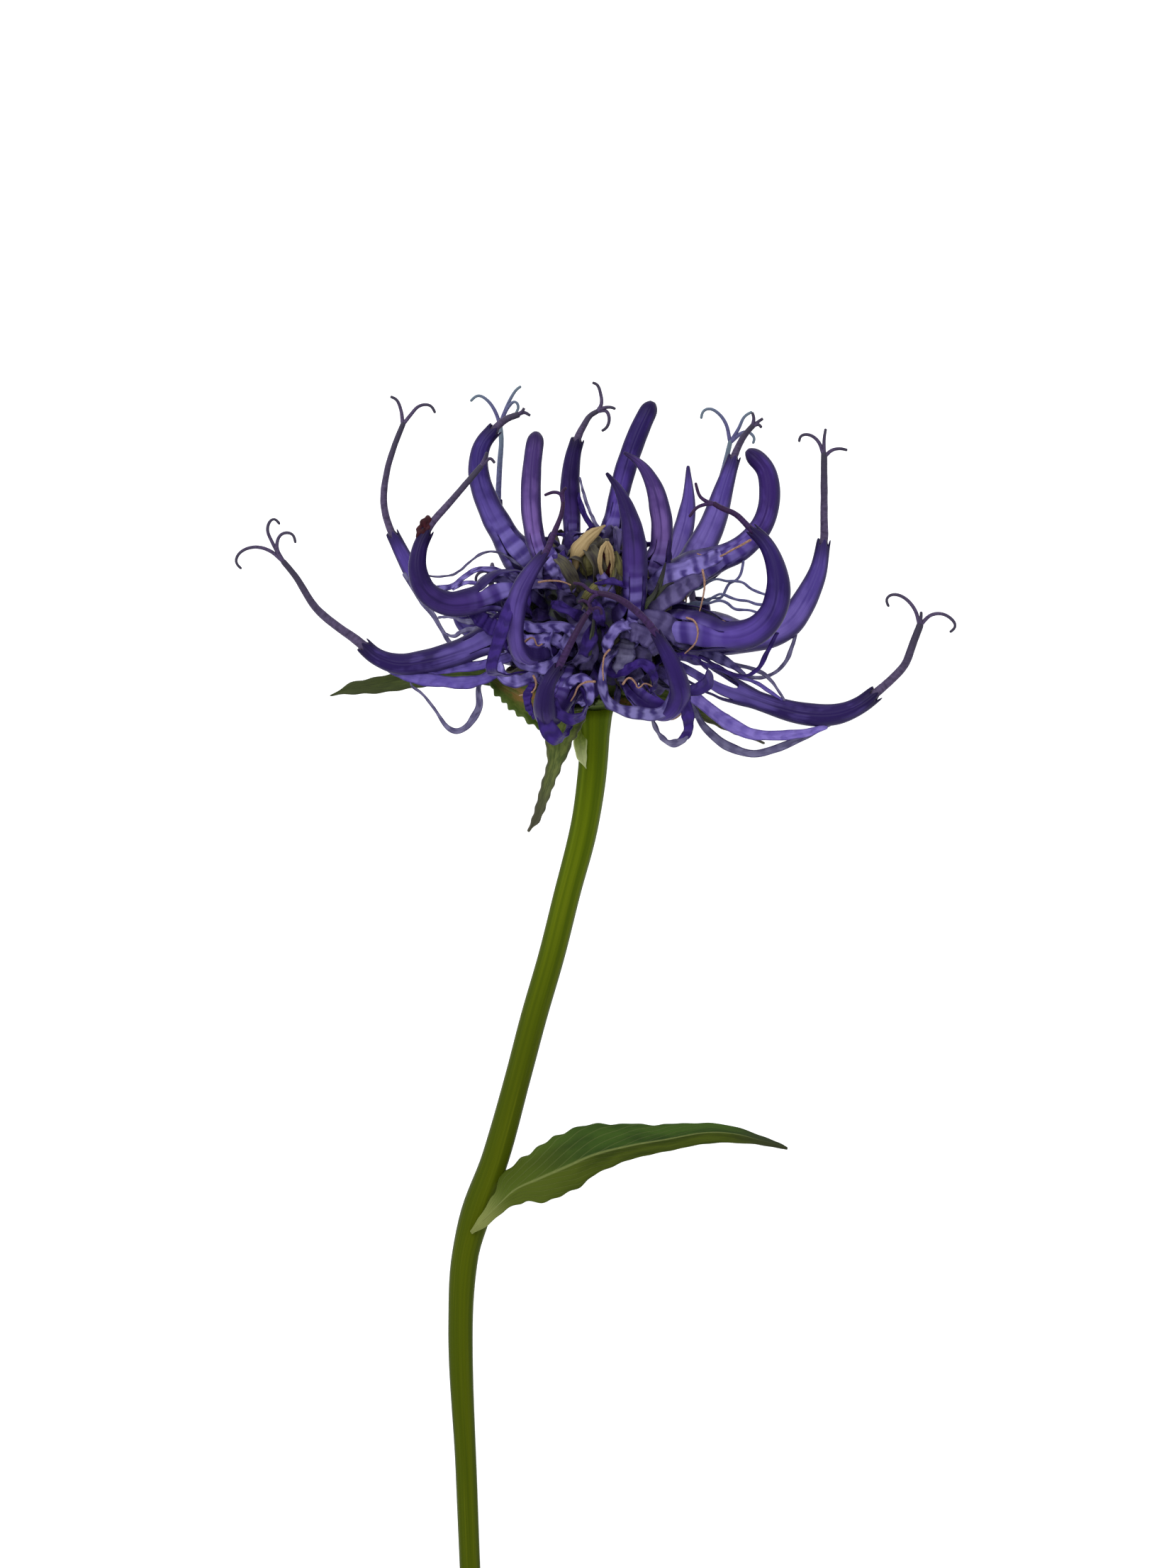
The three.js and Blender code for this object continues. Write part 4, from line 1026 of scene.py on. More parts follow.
# %% Loose lobes
LOOSE_LOBES = {  # points, half-widths in mm, finish, and where its face looks
    "left_loop": (
        [(-11.2, -3.2, 2.1), (-11.5, -3.8, 2.1), (-10.8, -4.4, 2.0), (-10.15, -5.15, 1.9),
         (-9.65, -5.9, 1.9), (-9.15, -6.6, 1.8), (-8.65, -6.85, 1.7), (-8.0, -6.6, 1.6),
         (-7.5, -6.0, 1.5), (-7.15, -5.3, 1.4), (-7.15, -4.6, 1.3), (-7.2, -4.0, 1.3), (-6.0, -2.6, 1.2)],
        [0.07, 0.08, 0.1, 0.13, 0.2, 0.26, 0.2, 0.16, 0.3], GREY_STRAP, (0.3, 0, 1)),
    "far_left_mid": (
        [(-12.3, -2.95, 2.2), (-10.4, -3.05, 2.35), (-8.6, -2.85, 2.3), (-6.9, -2.6, 2.0),
         (-4.2, -1.8, 1.5)],
        [0.1, 0.25, 0.3, 0.32, 0.3], SMOOTH_STRAP, (0, -0.2, 1)),
    "far_left_low": (
        [(-12.9, -2.9, 2.2), (-11.2, -3.45, 2.3), (-9.6, -3.65, 2.2), (-8.2, -3.75, 2.1),
         (-7.0, -3.55, 1.9), (-5.6, -2.8, 1.6)],
        [0.2, 0.4, 0.42, 0.42, 0.4, 0.35], SMOOTH_STRAP, (0, -0.3, 1)),
    "upper_left_strand": (
        [(-11.9, 3.4, -4.1), (-10.9, 1.6, -4.0), (-10.05, 0.5, -3.8), (-9.6, -0.3, -3.4),
         (-8.85, -1.35, -2.6), (-6.4, -1.6, -0.6)],
        [0.28, 0.22, 0.16, 0.14, 0.12, 0.12], GREY_STRAP, (0, 0, 1)),
    "fan_upper": (
        [(-9.85, 0.45, -3.6), (-9.0, 0.5, -2.8), (-8.2, 0.2, -2.0), (-7.0, 0.2, -1.0), (-4.5, 0.4, 0)],
        [0.08, 0.12, 0.2, 0.3, 0.3], GREY_STRAP, (0, 0, 1)),
    "fan_lower": (
        [(-9.5, -0.5, -3.2), (-8.9, -0.75, -2.6), (-8.0, -0.35, -1.8), (-6.6, -0.3, -0.8), (-4.2, 0, 0)],
        [0.08, 0.16, 0.2, 0.3, 0.3], GREY_STRAP, (0, 0, 1)),
    "net_upper": (
        [(-10.9, 3.0, 5.2), (-9.4, 2.9, 4.7), (-8.5, 3.15, 4.2), (-7.8, 3.75, 3.8), (-7.0, 4.35, 3.2),
         (-6.0, 4.5, 2.4), (-4.2, 3.4, 1.4)],
        [0.07, 0.07, 0.08, 0.08, 0.1], GREY_STRAP, (0, 0, 1)),
    "net_middle": (
        [(-10.5, 2.2, 5.0), (-8.9, 2.25, 4.6), (-8.1, 2.85, 4.1), (-7.3, 3.35, 3.6), (-6.3, 3.35, 3.1),
         (-4.6, 2.6, 2.4)],
        [0.12, 0.2, 0.17, 0.18, 0.25, 0.3], STRAP, (0, 0, 1)),
    "net_lower": (
        [(-8.8, 2.1, 4.5), (-7.9, 2.55, 4.1), (-7.0, 2.45, 3.8), (-6.1, 2.75, 3.4), (-4.4, 1.9, 2.8)],
        [0.12, 0.14, 0.2, 0.3, 0.35], STRAP, (0, 0, 1)),
    "left_tissue": (
        [(-7.9, 0.9, 4.4), (-7.2, 0.4, 4.2), (-6.4, -0.2, 3.8), (-5.2, -0.6, 3.4)],
        [0.3, 0.5, 0.55, 0.4], DARK_STRAP, (0, 0, 1)),
    "far_right_upper": (
        [(12.2, -4.9, 2.2), (11.75, -4.2, 2.2), (11.0, -3.3, 2.2), (10.2, -2.9, 2.2), (9.0, -2.6, 2.2),
         (5.4, -1.6, 1.9)],
        [0.08, 0.12, 0.13, 0.13, 0.15, 0.2], GREY_STRAP, (0, 0.2, 1)),
    "far_right_second": (
        [(12.4, -5.1, 2.1), (11.0, -4.15, 2.1), (10.3, -3.7, 2.1), (9.6, -3.5, 2.1), (8.0, -2.9, 2.1),
         (5.0, -1.9, 1.8)],
        [0.1, 0.13, 0.12, 0.14, 0.16, 0.25], SMOOTH_STRAP, (0, 0.2, 1)),
    "far_right_pale": (
        [(9.7, -3.2, 2.6), (8.9, -2.7, 2.7), (8.0, -2.2, 2.7), (7.0, -1.8, 2.6), (5.0, -1.2, 2.4)],
        [0.06, 0.3, 0.36, 0.35, 0.3], PALE_STRAP, (0, 0, 1)),
    "far_right_mid": (
        [(3.6, -2.4, 1.0), (5.6, -4.0, 2.2), (7.05, -5.1, 2.6), (7.9, -5.8, 2.8), (9.05, -6.55, 2.8),
         (10.1, -7.0, 2.7), (11.4, -7.1, 2.5), (12.5, -7.05, 2.3), (13.7, -6.9, 2.2), (14.9, -6.5, 2.1)],
        [0.35, 0.42, 0.45, 0.45, 0.42, 0.36, 0.3, 0.22], LIGHT_STRAP, (0, -0.3, 1)),
    "far_right_low": (
        [(3.6, -3.2, 0.0), (6.3, -5.2, 0.5), (7.1, -6.5, 0.8), (8.5, -7.7, 1.1), (10.2, -8.25, 1.4),
         (12.0, -7.8, 1.6), (13.2, -7.3, 1.8), (15.4, -6.2, 1.9)],
        [0.2, 0.2, 0.27, 0.3, 0.27, 0.22, 0.15], GREY_STRAP, (0, -0.5, 1)),
    "front_right_fall": (
        [(5.3, -3.0, 8.5), (5.65, -4.4, 8.0), (6.0, -5.8, 7.2), (6.0, -6.9, 6.5), (5.6, -7.45, 6.0)],
        [0.4, 0.45, 0.42, 0.36, 0.3], DARK_STRAP, (0.2, -0.3, 1)),
    "front_right_loop": (
        [(5.9, -7.1, 6.4), (5.5, -7.5, 6.0), (4.9, -7.6, 5.7), (4.3, -7.1, 5.4), (3.9, -6.3, 5.0),
         (3.5, -5.0, 4.6), (2.8, -3.0, 4.0)],
        [0.28, 0.3, 0.3, 0.28, 0.3, 0.4], GREY_STRAP, (0.2, -0.3, 1)),
    "front_left_loop": (
        [(5.5, -4.2, 8.0), (5.0, -5.15, 7.6), (4.2, -5.75, 7.2), (2.9, -5.7, 6.8), (1.6, -5.4, 6.3),
         (0.85, -4.7, 6.1), (0.65, -3.8, 6.2), (0.75, -2.8, 6.2), (1.3, -2.0, 5.6), (1.6, -1.2, 4.4)],
        [0.5, 0.45, 0.45, 0.42, 0.36, 0.32, 0.3], PALE_STRAP, (0, -0.2, 1)),
    "front_right_lobe": (
        [(5.5, -4.3, 7.7), (6.2, -4.3, 7.4), (7.0, -4.0, 6.9), (7.4, -3.3, 6.3), (6.9, -2.6, 5.6),
         (5.6, -2.2, 4.6), (3.4, -1.4, 3.2)],
        [0.4, 0.5, 0.6, 0.6, 0.5, 0.4], DARK_STRAP, (0, -0.3, 1)),
    "front_low_lobe": (
        [(-2.7, -4.6, 7.9), (-3.0, -5.8, 7.6), (-2.6, -6.9, 7.1), (-2.0, -7.4, 6.5), (-1.5, -6.6, 5.2),
         (-1.2, -4.4, 4.2)],
        [0.5, 0.55, 0.55, 0.48, 0.4, 0.3], DARK_STRAP, (0, -0.2, 1)),
    "front_low_loop": (
        [(-2.5, -4.8, 7.8), (-2.1, -5.7, 7.3), (-1.25, -6.1, 6.9), (-0.55, -5.8, 6.3), (-0.35, -5.1, 5.8),
         (-0.7, -4.1, 5.0), (-0.5, -2.4, 3.8)],
        [0.3, 0.4, 0.42, 0.4, 0.35, 0.3], DARK_STRAP, (0, -0.3, 1)),
    "shrivelled": (
        [(-3.7, -3.8, 5.6), (-4.05, -4.6, 5.9), (-3.95, -5.4, 5.9), (-3.6, -6.1, 5.6)],
        [0.2, 0.3, 0.25, 0.1], DARK_STRAP, (-0.4, 0, 1)),
    "front_left_outer": (
        [(-4.6, 2.2, 9.2), (-5.1, 1.1, 9.35), (-5.45, 0.1, 9.3), (-5.75, -0.9, 9.1), (-6.1, -2.0, 8.6),
         (-6.3, -2.95, 8.1), (-6.05, -3.25, 7.4), (-5.2, -3.3, 6.6), (-4.0, -3.0, 5.6),
         (-2.4, -1.6, 4.0)],
        [0.16, 0.42, 0.42, 0.42, 0.38, 0.34, 0.36, 0.4, 0.4], DARK_STRAP, (0, 0, 1)),
    "crown_mid_second": (
        [(-0.9, 8.4, -2.2), (-0.5, 7.0, -2.0), (0.2, 5.9, -1.8), (0.8, 4.6, -1.6), (0.8, 2.4, -1.2)],
        [0.12, 0.2, 0.16, 0.2, 0.2], DARK_STRAP, (0, 0, 1)),
    "crown_mid_arc": (
        [(-0.8, 9.4, -2.0), (-0.3, 7.6, -1.2), (0.5, 6.0, -0.2), (1.2, 5.6, 0.6), (1.3, 4.4, 1.2)],
        [0.08, 0.1, 0.12, 0.16, 0.2], GREY_STRAP, (0, 0, 1)),
    "outer_right_strand": (
        [(13.05, -0.3, -2.3), (12.7, -1.6, -2.0), (12.1, -2.7, -1.4), (11.2, -3.3, -0.8),
         (10.1, -3.4, -0.2), (8.3, -2.4, 0.2), (5.0, -1.1, 1.0)],
        [0.12, 0.14, 0.12, 0.1, 0.1, 0.12], GREY_STRAP, (0.4, 0, 1)),
    "right_wavy": (
        [(11.7, -0.6, 4.6), (11.0, -1.95, 4.0), (10.4, -3.0, 3.5), (9.5, -3.36, 3.2), (8.2, -2.9, 2.9),
         (7.2, -2.3, 2.8), (4.6, -1.2, 2.6)],
        [0.12, 0.17, 0.12, 0.17, 0.15, 0.2], DARK_STRAP, (0.4, 0, 1)),
    "wrinkled_upper": (
        [(-5.0, -0.8, 5.0), (-4.4, -0.2, 5.5), (-3.6, -0.35, 5.9), (-2.6, -0.3, 6.1), (-1.7, -0.3, 6.0),
         (-0.9, -0.9, 5.4)],
        [0.3, 0.38, 0.42, 0.42, 0.36], STRAP, (0, -0.2, 1)),
    "wrinkled_lower": (
        [(-4.8, -0.6, 5.0), (-4.1, -1.1, 5.5), (-3.3, -1.1, 5.8), (-2.5, -1.0, 5.9), (-1.7, -1.5, 5.4),
         (-1.0, -2.0, 4.4)],
        [0.3, 0.36, 0.4, 0.38, 0.3], STRAP, (0, -0.2, 1)),
    "front_left_ring": (
        [(-5.0, -1.4, 7.4), (-4.5, -2.4, 6.8), (-3.6, -2.8, 6.4), (-2.7, -2.8, 6.1), (-2.1, -2.2, 5.6),
         (-1.4, -1.6, 4.6)],
        [0.36, 0.42, 0.45, 0.42, 0.35], STRAP, (0, -0.2, 1)),
    "left_low_ring": (
        [(-6.0, -2.6, 4.4), (-5.6, -3.4, 4.6), (-4.8, -3.7, 4.8), (-4.0, -3.5, 4.8), (-3.4, -2.8, 4.6),
         (-2.8, -1.8, 4.0)],
        [0.36, 0.42, 0.42, 0.4, 0.36], STRAP, (0, -0.2, 1)),
    "low_middle_ring": (
        [(-1.8, -4.5, 5.2), (-1.3, -3.7, 5.7), (-0.6, -3.5, 5.8), (-0.15, -4.1, 5.6), (-0.25, -4.9, 5.2),
         (-0.8, -5.1, 4.6)],
        [0.3, 0.34, 0.36, 0.34, 0.3], STRAP, (0, -0.2, 1)),
    "middle_hook": (
        [(2.6, 0.2, 5.2), (2.3, -0.2, 5.9), (1.7, -0.3, 6.2), (1.2, -0.9, 6.2), (0.9, -1.6, 5.8),
         (1.2, -2.4, 4.8)],
        [0.34, 0.4, 0.42, 0.4, 0.3], STRAP, (0, 0, 1)),
    "middle_right_ring": (
        [(0.9, -2.2, 4.8), (1.3, -3.2, 5.2), (2.2, -3.0, 5.8), (3.2, -2.6, 6.2), (3.9, -3.4, 6.0),
         (3.8, -4.4, 5.2)],
        [0.3, 0.36, 0.42, 0.42, 0.36, 0.3], DARK_STRAP, (0, -0.2, 1)),
    "middle_grey_panel": (
        [(2.3, -1.0, 4.8), (2.1, -2.0, 5.4), (1.9, -2.9, 5.5), (1.8, -3.7, 5.1)],
        [0.4, 0.65, 0.6, 0.2], GREY_STRAP, (0, 0, 1)),
    "middle_panel": (
        [(-1.2, 1.0, 4.6), (-0.8, 0.0, 5.6), (-0.4, -1.0, 5.8), (-0.2, -2.0, 5.5), (-0.4, -3.0, 4.8)],
        [0.5, 0.7, 0.75, 0.6, 0.4], MEMBRANE, (0, 0, 1)),
    "right_panel": (
        [(3.2, 0.2, 4.6), (4.3, 1.2, 5.2), (5.4, 2.0, 5.0), (6.4, 2.6, 4.2), (7.2, 3.0, 3.4)],
        [0.4, 0.6, 0.65, 0.5, 0.3], MEMBRANE, (0, 0.2, 1)),
    "right_upper_panel": (
        [(3.4, 2.0, 3.8), (4.7, 3.0, 4.2), (6.0, 3.4, 4.0), (7.2, 3.9, 3.2), (8.2, 4.4, 2.4)],
        [0.4, 0.6, 0.62, 0.55, 0.4], STRAP, (0, 0, 1)),
    "right_low_panel": (
        [(2.8, 0.4, 5.0), (3.9, 0.2, 5.6), (5.0, -0.4, 5.4), (6.0, -1.2, 4.8), (6.8, -2.0, 3.8)],
        [0.4, 0.65, 0.75, 0.6, 0.4], MEMBRANE, (0, 0.1, 1)),
    "middle_low_panel": (
        [(1.8, -0.6, 5.4), (2.9, -0.7, 6.2), (3.8, -1.2, 6.2), (4.2, -2.0, 5.6)],
        [0.4, 0.6, 0.6, 0.4], MEMBRANE, (0, 0, 1)),
    "crown_left_panel": (
        [(-1.8, 2.2, 4.0), (-2.2, 3.3, 4.2), (-2.7, 4.2, 3.8), (-3.6, 4.8, 3.0)],
        [0.4, 0.6, 0.55, 0.35], STRAP, (0, 0, 1)),
    "crown_middle_panel": (
        [(-1.4, 1.8, 4.4), (-1.5, 2.8, 4.8), (-1.7, 3.6, 4.6), (-2.0, 4.3, 4.0)],
        [0.35, 0.5, 0.5, 0.3], STRAP, (0, 0, 1)),
}
LOOSE_SEED = 70
for seed, (name, (points, widths, finish, facing)) in enumerate(LOOSE_LOBES.items(), start=LOOSE_SEED):
    placed(ribbon(f"loose_lobe_{name}", points, widths, finish, facing, seed))
print("loose lobes:", len(LOOSE_LOBES))

# %% [markdown]
# ## Threads between the lobes
# The narrowest lobes have shrivelled to wavy threads that span from a horn back to the head. They
# are thin tubes with a wave in their line.

# %% Wavy threads
thread_blank = tube_blank("thread_blank", 5, 30)
THREADS = [
    [(11.5, 1.5, 2.6), (9.7, 2.4, 2.0), (8.55, 2.8, 2.0), (7.0, 2.4, 2.0), (4.2, 1.2, 2.0)],
    [(11.5, 1.1, 3.0), (9.5, 1.4, 2.4), (8.5, 1.8, 2.4), (7.2, 1.4, 2.4), (3.6, 0.6, 2.4)],
    [(11.1, 0.5, 3.4), (9.1, 0.95, 3.0), (7.8, 1.4, 3.0), (6.5, 1.2, 2.8), (3.6, 0.4, 2.6)],
    [(9.6, 4.05, 1.4), (9.5, 3.3, 1.5), (8.7, 2.4, 1.6), (8.2, 1.8, 1.8), (4.4, 0.8, 2.0)],
]
THREAD_SEED = 300
THREAD_MM = (0.12, 0.1)  # radius at both ends
STOPS = 14
SWING_MM = 0.15
strands = []
for number, points in enumerate(THREADS):
    frames = frames_along(from_head(points))
    wavy = []
    for stop in range(STOPS + 1):
        place, side, face = frames[round(stop / STOPS * LINE_STEPS)]
        swing = SWING_MM * MM * math.sin(stop * 1.9 + number * 2) * math.sin(math.pi * stop / STOPS)
        wavy.append(place + side * swing + face * swing * 0.5)
    name = f"strand_{number}"
    strands.append(thread(thread_blank, name, wavy, THREAD_MM, THREAD_SEED + number, rough=0.3))
placed(finished(joined(strands, "shrivelled_lobes"), PALE_STYLE))
print("shrivelled lobes:", len(THREADS))

# %% [markdown]
# ## The core of the head
# The florets stand on ovaries that are packed together. A ball made of many faces is swollen in a
# bump for each of them, by noise, and mottled in dark green and violet. Only gaps show it.

# %% Core
CORE_MM = 4.5
deselect_all()
middle = Vector((0, 0, HEAD_HEIGHT * MM))
bpy.ops.mesh.primitive_ico_sphere_add(subdivisions=5, radius=CORE_MM * MM, location=middle)
core = bpy.context.object
core.name = "head_core"
bpy.ops.object.transform_apply(location=True, rotation=True, scale=True)
for vertex in core.data.vertices:
    out = (vertex.co - middle).normalized()
    bump = noise.voronoi(out * 4.2)[0][0]
    vertex.co = middle + out * (CORE_MM + 0.45 - 1.1 * bump) * MM
core_finish, core_shader, around, along = new_finish("head_core", roughness=0.6)
mottle_place = around.add("ShaderNodeTexCoord", {}, {}, output=3)
mottle = around.add("ShaderNodeTexNoise", {}, {"Vector": mottle_place, "Scale": 900.0, "Detail": 3.0})
connect(core_shader, mixed(rise(mottle, 0.36, 0.6), srgb(62, 66, 58), srgb(54, 46, 88)), mottle)
placed(finished(core, core_finish, smooth_levels=0))
print("core faces:", len(core.data.polygons))

# %% [markdown]
# ## Crumpled lobes, calyx teeth and dry stamens
# Between the horns the head is full of short curled lobes, narrow green calyx teeth and the brown
# curls of old stamens. A golden-angle spiral spreads them evenly over the ball, and a seeded draw
# gives each its own curl. They are many, so each is a short ribbon or thread of few faces.

# %% A spiral of directions over the head
GOLDEN = math.pi * (3 - math.sqrt(5))


def spiral(count, top=0.93, bottom=-0.72):
    """Directions over the head, evenly spread, from its crown down."""
    for k in range(count):
        height = top + (bottom - top) * (k + 0.5) / count
        around = math.sqrt(1 - height * height)
        turn = k * GOLDEN
        yield AXIS * height + (SIDE * math.cos(turn) + FRONT * math.sin(turn)) * around


print("first direction:", [round(c, 2) for c in next(spiral(10))])

# %% Crumpled lobes
DRAW_SEED = 5
draw = random.Random(DRAW_SEED)


def aside_from(out):
    """A random direction square to another."""
    lean = Vector([draw.uniform(-1, 1) for _ in range(3)])
    return (lean - out * lean.dot(out)).normalized()


CRUMPLED = 180
LOBE_ROOT_MM = 3.4
DRY_SIDE = Vector((0.1, 0.55, 0.8)).normalized()  # where the withered flowers of the crown are
crumpled = {STRAP: [], DARK_STRAP: [], MEMBRANE: [], SEPAL: []}
for number, out in enumerate(spiral(CRUMPLED, top=0.985)):
    lean = aside_from(out)
    reach = draw.uniform(4.9, 6.7)
    curl = draw.uniform(0.4, 1.2)
    points = [
        out * LOBE_ROOT_MM,
        out * (reach * 0.8) + lean * curl * 0.2,
        out * reach + lean * curl * 0.9,
        out * (reach * 0.97) + lean * curl * 1.8,
        out * (reach * 0.78) + lean * curl * 2.5,
    ]
    widths = [0.2, draw.uniform(0.25, 0.5), draw.uniform(0.3, 0.6), draw.uniform(0.2, 0.5), 0.2]
    finish = draw.choice([STRAP, MEMBRANE, MEMBRANE, DARK_STRAP, DARK_STRAP, SEPAL])
    if (out - DRY_SIDE).length < 0.45:
        finish = SEPAL
    facing = out.cross(lean) * draw.uniform(-0.5, 0.5) - lean
    name = f"crumpled_{number}"
    piece = ribbon(name, points, widths, finish, facing, number, 0.5, 0.1, 0.13, short_blank)
    crumpled[finish].append(piece)
for number, (finish, lobes) in enumerate(crumpled.items(), start=1):
    placed(joined(lobes, f"crumpled_lobes_{number}"))
print("crumpled lobes:", [len(lobes) for lobes in crumpled.values()])

# %% Calyx teeth
tooth_blank = blade_blank("tooth_blank", 3, 7)


def calyx_tooth(number, points, facing, half_width_mm=0.4):
    """A narrow blade that thins to its point, with a keel along its middle."""
    tooth = copied(tooth_blank, f"tooth_{number}")
    for vertex in tooth.data.vertices:
        width = half_width_mm * (1 - vertex.co.x) ** 0.7 + 0.04
        vertex.co.z = 0.3 * abs(vertex.co.y) * width * MM
        vertex.co.y *= width * MM
    return bend(tooth, from_head(points), facing)


FRONT_TEETH = [  # points, where the face looks, and half-width in mm
    ([(3.4, 0.6, 4.4), (4.1, 2.0, 5.4), (4.4, 2.9, 5.6), (4.65, 3.8, 5.4)], (0.4, 0, 1), 0.3),
    ([(3.6, 1.2, 4.6), (4.2, 1.9, 5.4), (4.8, 2.4, 5.5), (5.2, 2.5, 5.4)], (0, 0.4, 1), 0.2),
    ([(3.2, 0.4, 4.6), (3.4, 1.2, 5.4), (3.9, 1.7, 5.6), (4.2, 2.6, 5.6)], (-0.4, 0, 1), 0.25),
    ([(-0.3, -2.4, 5.4), (-0.1, -1.2, 6.0), (0.1, 0.0, 6.2), (0.1, 0.8, 6.0)], (0.8, 0, 1), 0.2),
]
TEETH_AROUND = 60
TOOTH_WALL_MM = 0.14
teeth = [calyx_tooth(number, *row) for number, row in enumerate(FRONT_TEETH, start=90)]
for number, out in enumerate(spiral(TEETH_AROUND)):
    lean = AXIS * draw.uniform(-0.2, 0.9) + Vector([draw.uniform(-0.6, 0.6) for _ in range(3)])
    reach = draw.uniform(5.4, 6.8)
    points = [out * 3.5, out * (reach * 0.8) + lean * 0.3, out * reach + lean]
    teeth.append(calyx_tooth(number, points, lean.cross(out)))
placed(finished(joined(teeth, "calyx_teeth"), CALYX, thickness_mm=TOOTH_WALL_MM))
print("calyx teeth:", len(teeth))

# %% Dry stamens
curl_blank = tube_blank("curl_blank", 5, 20)
STAMENS = [
    [(-3.4, 2.5, 6.2), (-2.6, 2.6, 6.6), (-1.75, 2.5, 6.7), (-1.3, 2.3, 6.6)],
    [(5.9, 0.3, 5.6), (6.45, 0.05, 6.0), (6.65, -0.65, 6.2), (6.5, -1.3, 6.2), (5.8, -2.0, 5.8)],
    [(1.15, -1.7, 6.8), (0.8, -2.1, 7.0), (0.68, -2.9, 7.0), (0.72, -3.7, 6.8)],
    [(0.25, -3.75, 6.6), (-0.3, -3.75, 6.8), (-0.85, -4.05, 6.8), (-1.1, -4.6, 6.6), (-1.35, -5.0, 6.4)],
    [(1.9, -3.95, 6.4), (2.35, -3.5, 6.6), (2.75, -3.85, 6.6), (2.9, -4.15, 6.5), (3.3, -3.85, 6.5),
     (3.8, -4.05, 6.3)],
    [(4.4, -5.85, 4.4), (5.0, -6.1, 4.4), (5.5, -5.85, 4.4), (5.9, -5.2, 4.2)],
    [(10.1, 5.3, 2.4), (8.9, 4.65, 2.5), (7.7, 4.1, 2.5), (6.6, 4.4, 2.6)],
    [(6.95, 3.4, 4.2), (7.1, 2.4, 4.4), (6.95, 1.4, 4.6), (6.75, 0.6, 4.6)],
    [(6.1, 0.25, 5.4), (7.2, -0.1, 5.4), (8.0, 0.1, 5.2), (8.8, 0.0, 5.0)],
    [(-3.7, -3.3, 6.2), (-3.5, -3.9, 6.2), (-3.75, -4.4, 6.0), (-4.6, -4.6, 5.4)],
    [(-4.3, -1.3, 6.4), (-3.7, -1.0, 6.7), (-3.4, -1.5, 6.7), (-3.1, -1.35, 6.6)],
]
FILAMENT_MM = (0.1, 0.055)  # radius at the foot and at the tip
BACK_FILAMENT_MM = (0.13, 0.07)
STAMEN_SEED = 500
BACK_STAMEN_SEED = 530
curls = [
    thread(curl_blank, f"stamen_{seed}", from_head(points), FILAMENT_MM, seed, rough=0.25)
    for seed, points in enumerate(STAMENS, start=STAMEN_SEED)
]
for number, out in enumerate(spiral(16, top=0.6, bottom=-0.7)):
    if out.z > 0.2:
        continue  # those that look up are in the list
    lean = aside_from(out)
    other = out.cross(lean)
    reach = draw.uniform(6.0, 7.2)
    points = [
        out * 4, out * reach * 0.85 + lean * 0.4, out * reach + lean * 1.1 + other * 0.3,
        out * reach + lean * 1.8 - other * 0.3, out * (reach - 0.5) + lean * 2.4 + other * 0.2,
    ]
    seed = BACK_STAMEN_SEED + number
    curls.append(thread(curl_blank, f"stamen_{seed}", from_head(points), BACK_FILAMENT_MM, seed))
placed(finished(joined(curls, "dry_stamens"), STAMEN))
print("dry stamens:", len(curls))

# %% [markdown]
# ## Dry petals in the crown
# The first flowers of the crown have withered to straw-coloured petals: a large one that arches over
# at the left, and a bud in the middle that has split open. Olive bits stand behind them. They are
# ribbons too, with broad middles. A dark torn crust sits on the mouth of one floret at the left.

# %% Dry petals
DRY_PETALS = {
    "arched": (
        [(-1.3, 3.0, 3.6), (-1.15, 4.0, 4.2), (-1.0, 4.5, 4.4), (-0.6, 5.05, 4.4), (0.0, 5.65, 4.1),
         (0.85, 6.15, 3.6)],
        [0.2, 0.4, 0.55, 0.52, 0.36, 0.06], DRY, (-0.5, 0.3, 1)),
    "split_left": (
        [(0.75, 2.6, 4.2), (0.5, 3.7, 4.9), (0.62, 4.6, 4.9), (0.97, 5.1, 4.6)],
        [0.1, 0.14, 0.15, 0.12], DRY, (-0.3, 0, 1)),
    "split_right": (
        [(1.2, 2.8, 4.2), (1.3, 3.9, 4.9), (1.2, 4.6, 4.9), (0.97, 5.1, 4.6)],
        [0.08, 0.12, 0.15, 0.12], DRY, (0.3, 0, 1)),
    "split_tongue": (
        [(0.92, 3.4, 4.4), (1.0, 4.1, 4.7), (0.97, 4.6, 4.8), (0.97, 5.0, 4.7)],
        [0.03, 0.12, 0.2, 0.15], DRY, (0, 0, 1)),
    "split_inside": (
        [(0.9, 2.6, 3.8), (0.9, 3.6, 4.4), (0.95, 4.4, 4.5), (0.97, 5.0, 4.3)],
        [0.3, 0.4, 0.4, 0.1], CRUST, (0, 0, 1)),
    "olive_left": (
        [(-0.3, 3.0, 3.8), (-0.3, 3.6, 4.2), (-0.3, 4.2, 4.2), (-0.3, 4.8, 3.9)],
        [0.4, 0.5, 0.5, 0.1], OLIVE, (0, 0, 1)),
    "olive_right": (
        [(1.5, 1.8, 4.2), (1.6, 2.8, 4.6), (1.6, 3.7, 4.5), (1.5, 4.5, 4.0)],
        [0.3, 0.42, 0.4, 0.1], OLIVE, (0, 0, 1)),
    "olive_low": (
        [(-0.6, 1.4, 4.8), (0.0, 2.0, 5.2), (0.6, 2.4, 5.2), (1.2, 2.2, 4.9)],
        [0.2, 0.3, 0.3, 0.2], OLIVE, (0, 0, 1)),
}
PETAL_SEED = 140
for seed, (name, (points, widths, finish, facing)) in enumerate(DRY_PETALS.items(), start=PETAL_SEED):
    petal = ribbon(f"dry_petal_{name}", points, widths, finish, facing, seed, trough=-0.5, ripple=0)
    placed(petal)
print("dry petals:", len(DRY_PETALS))

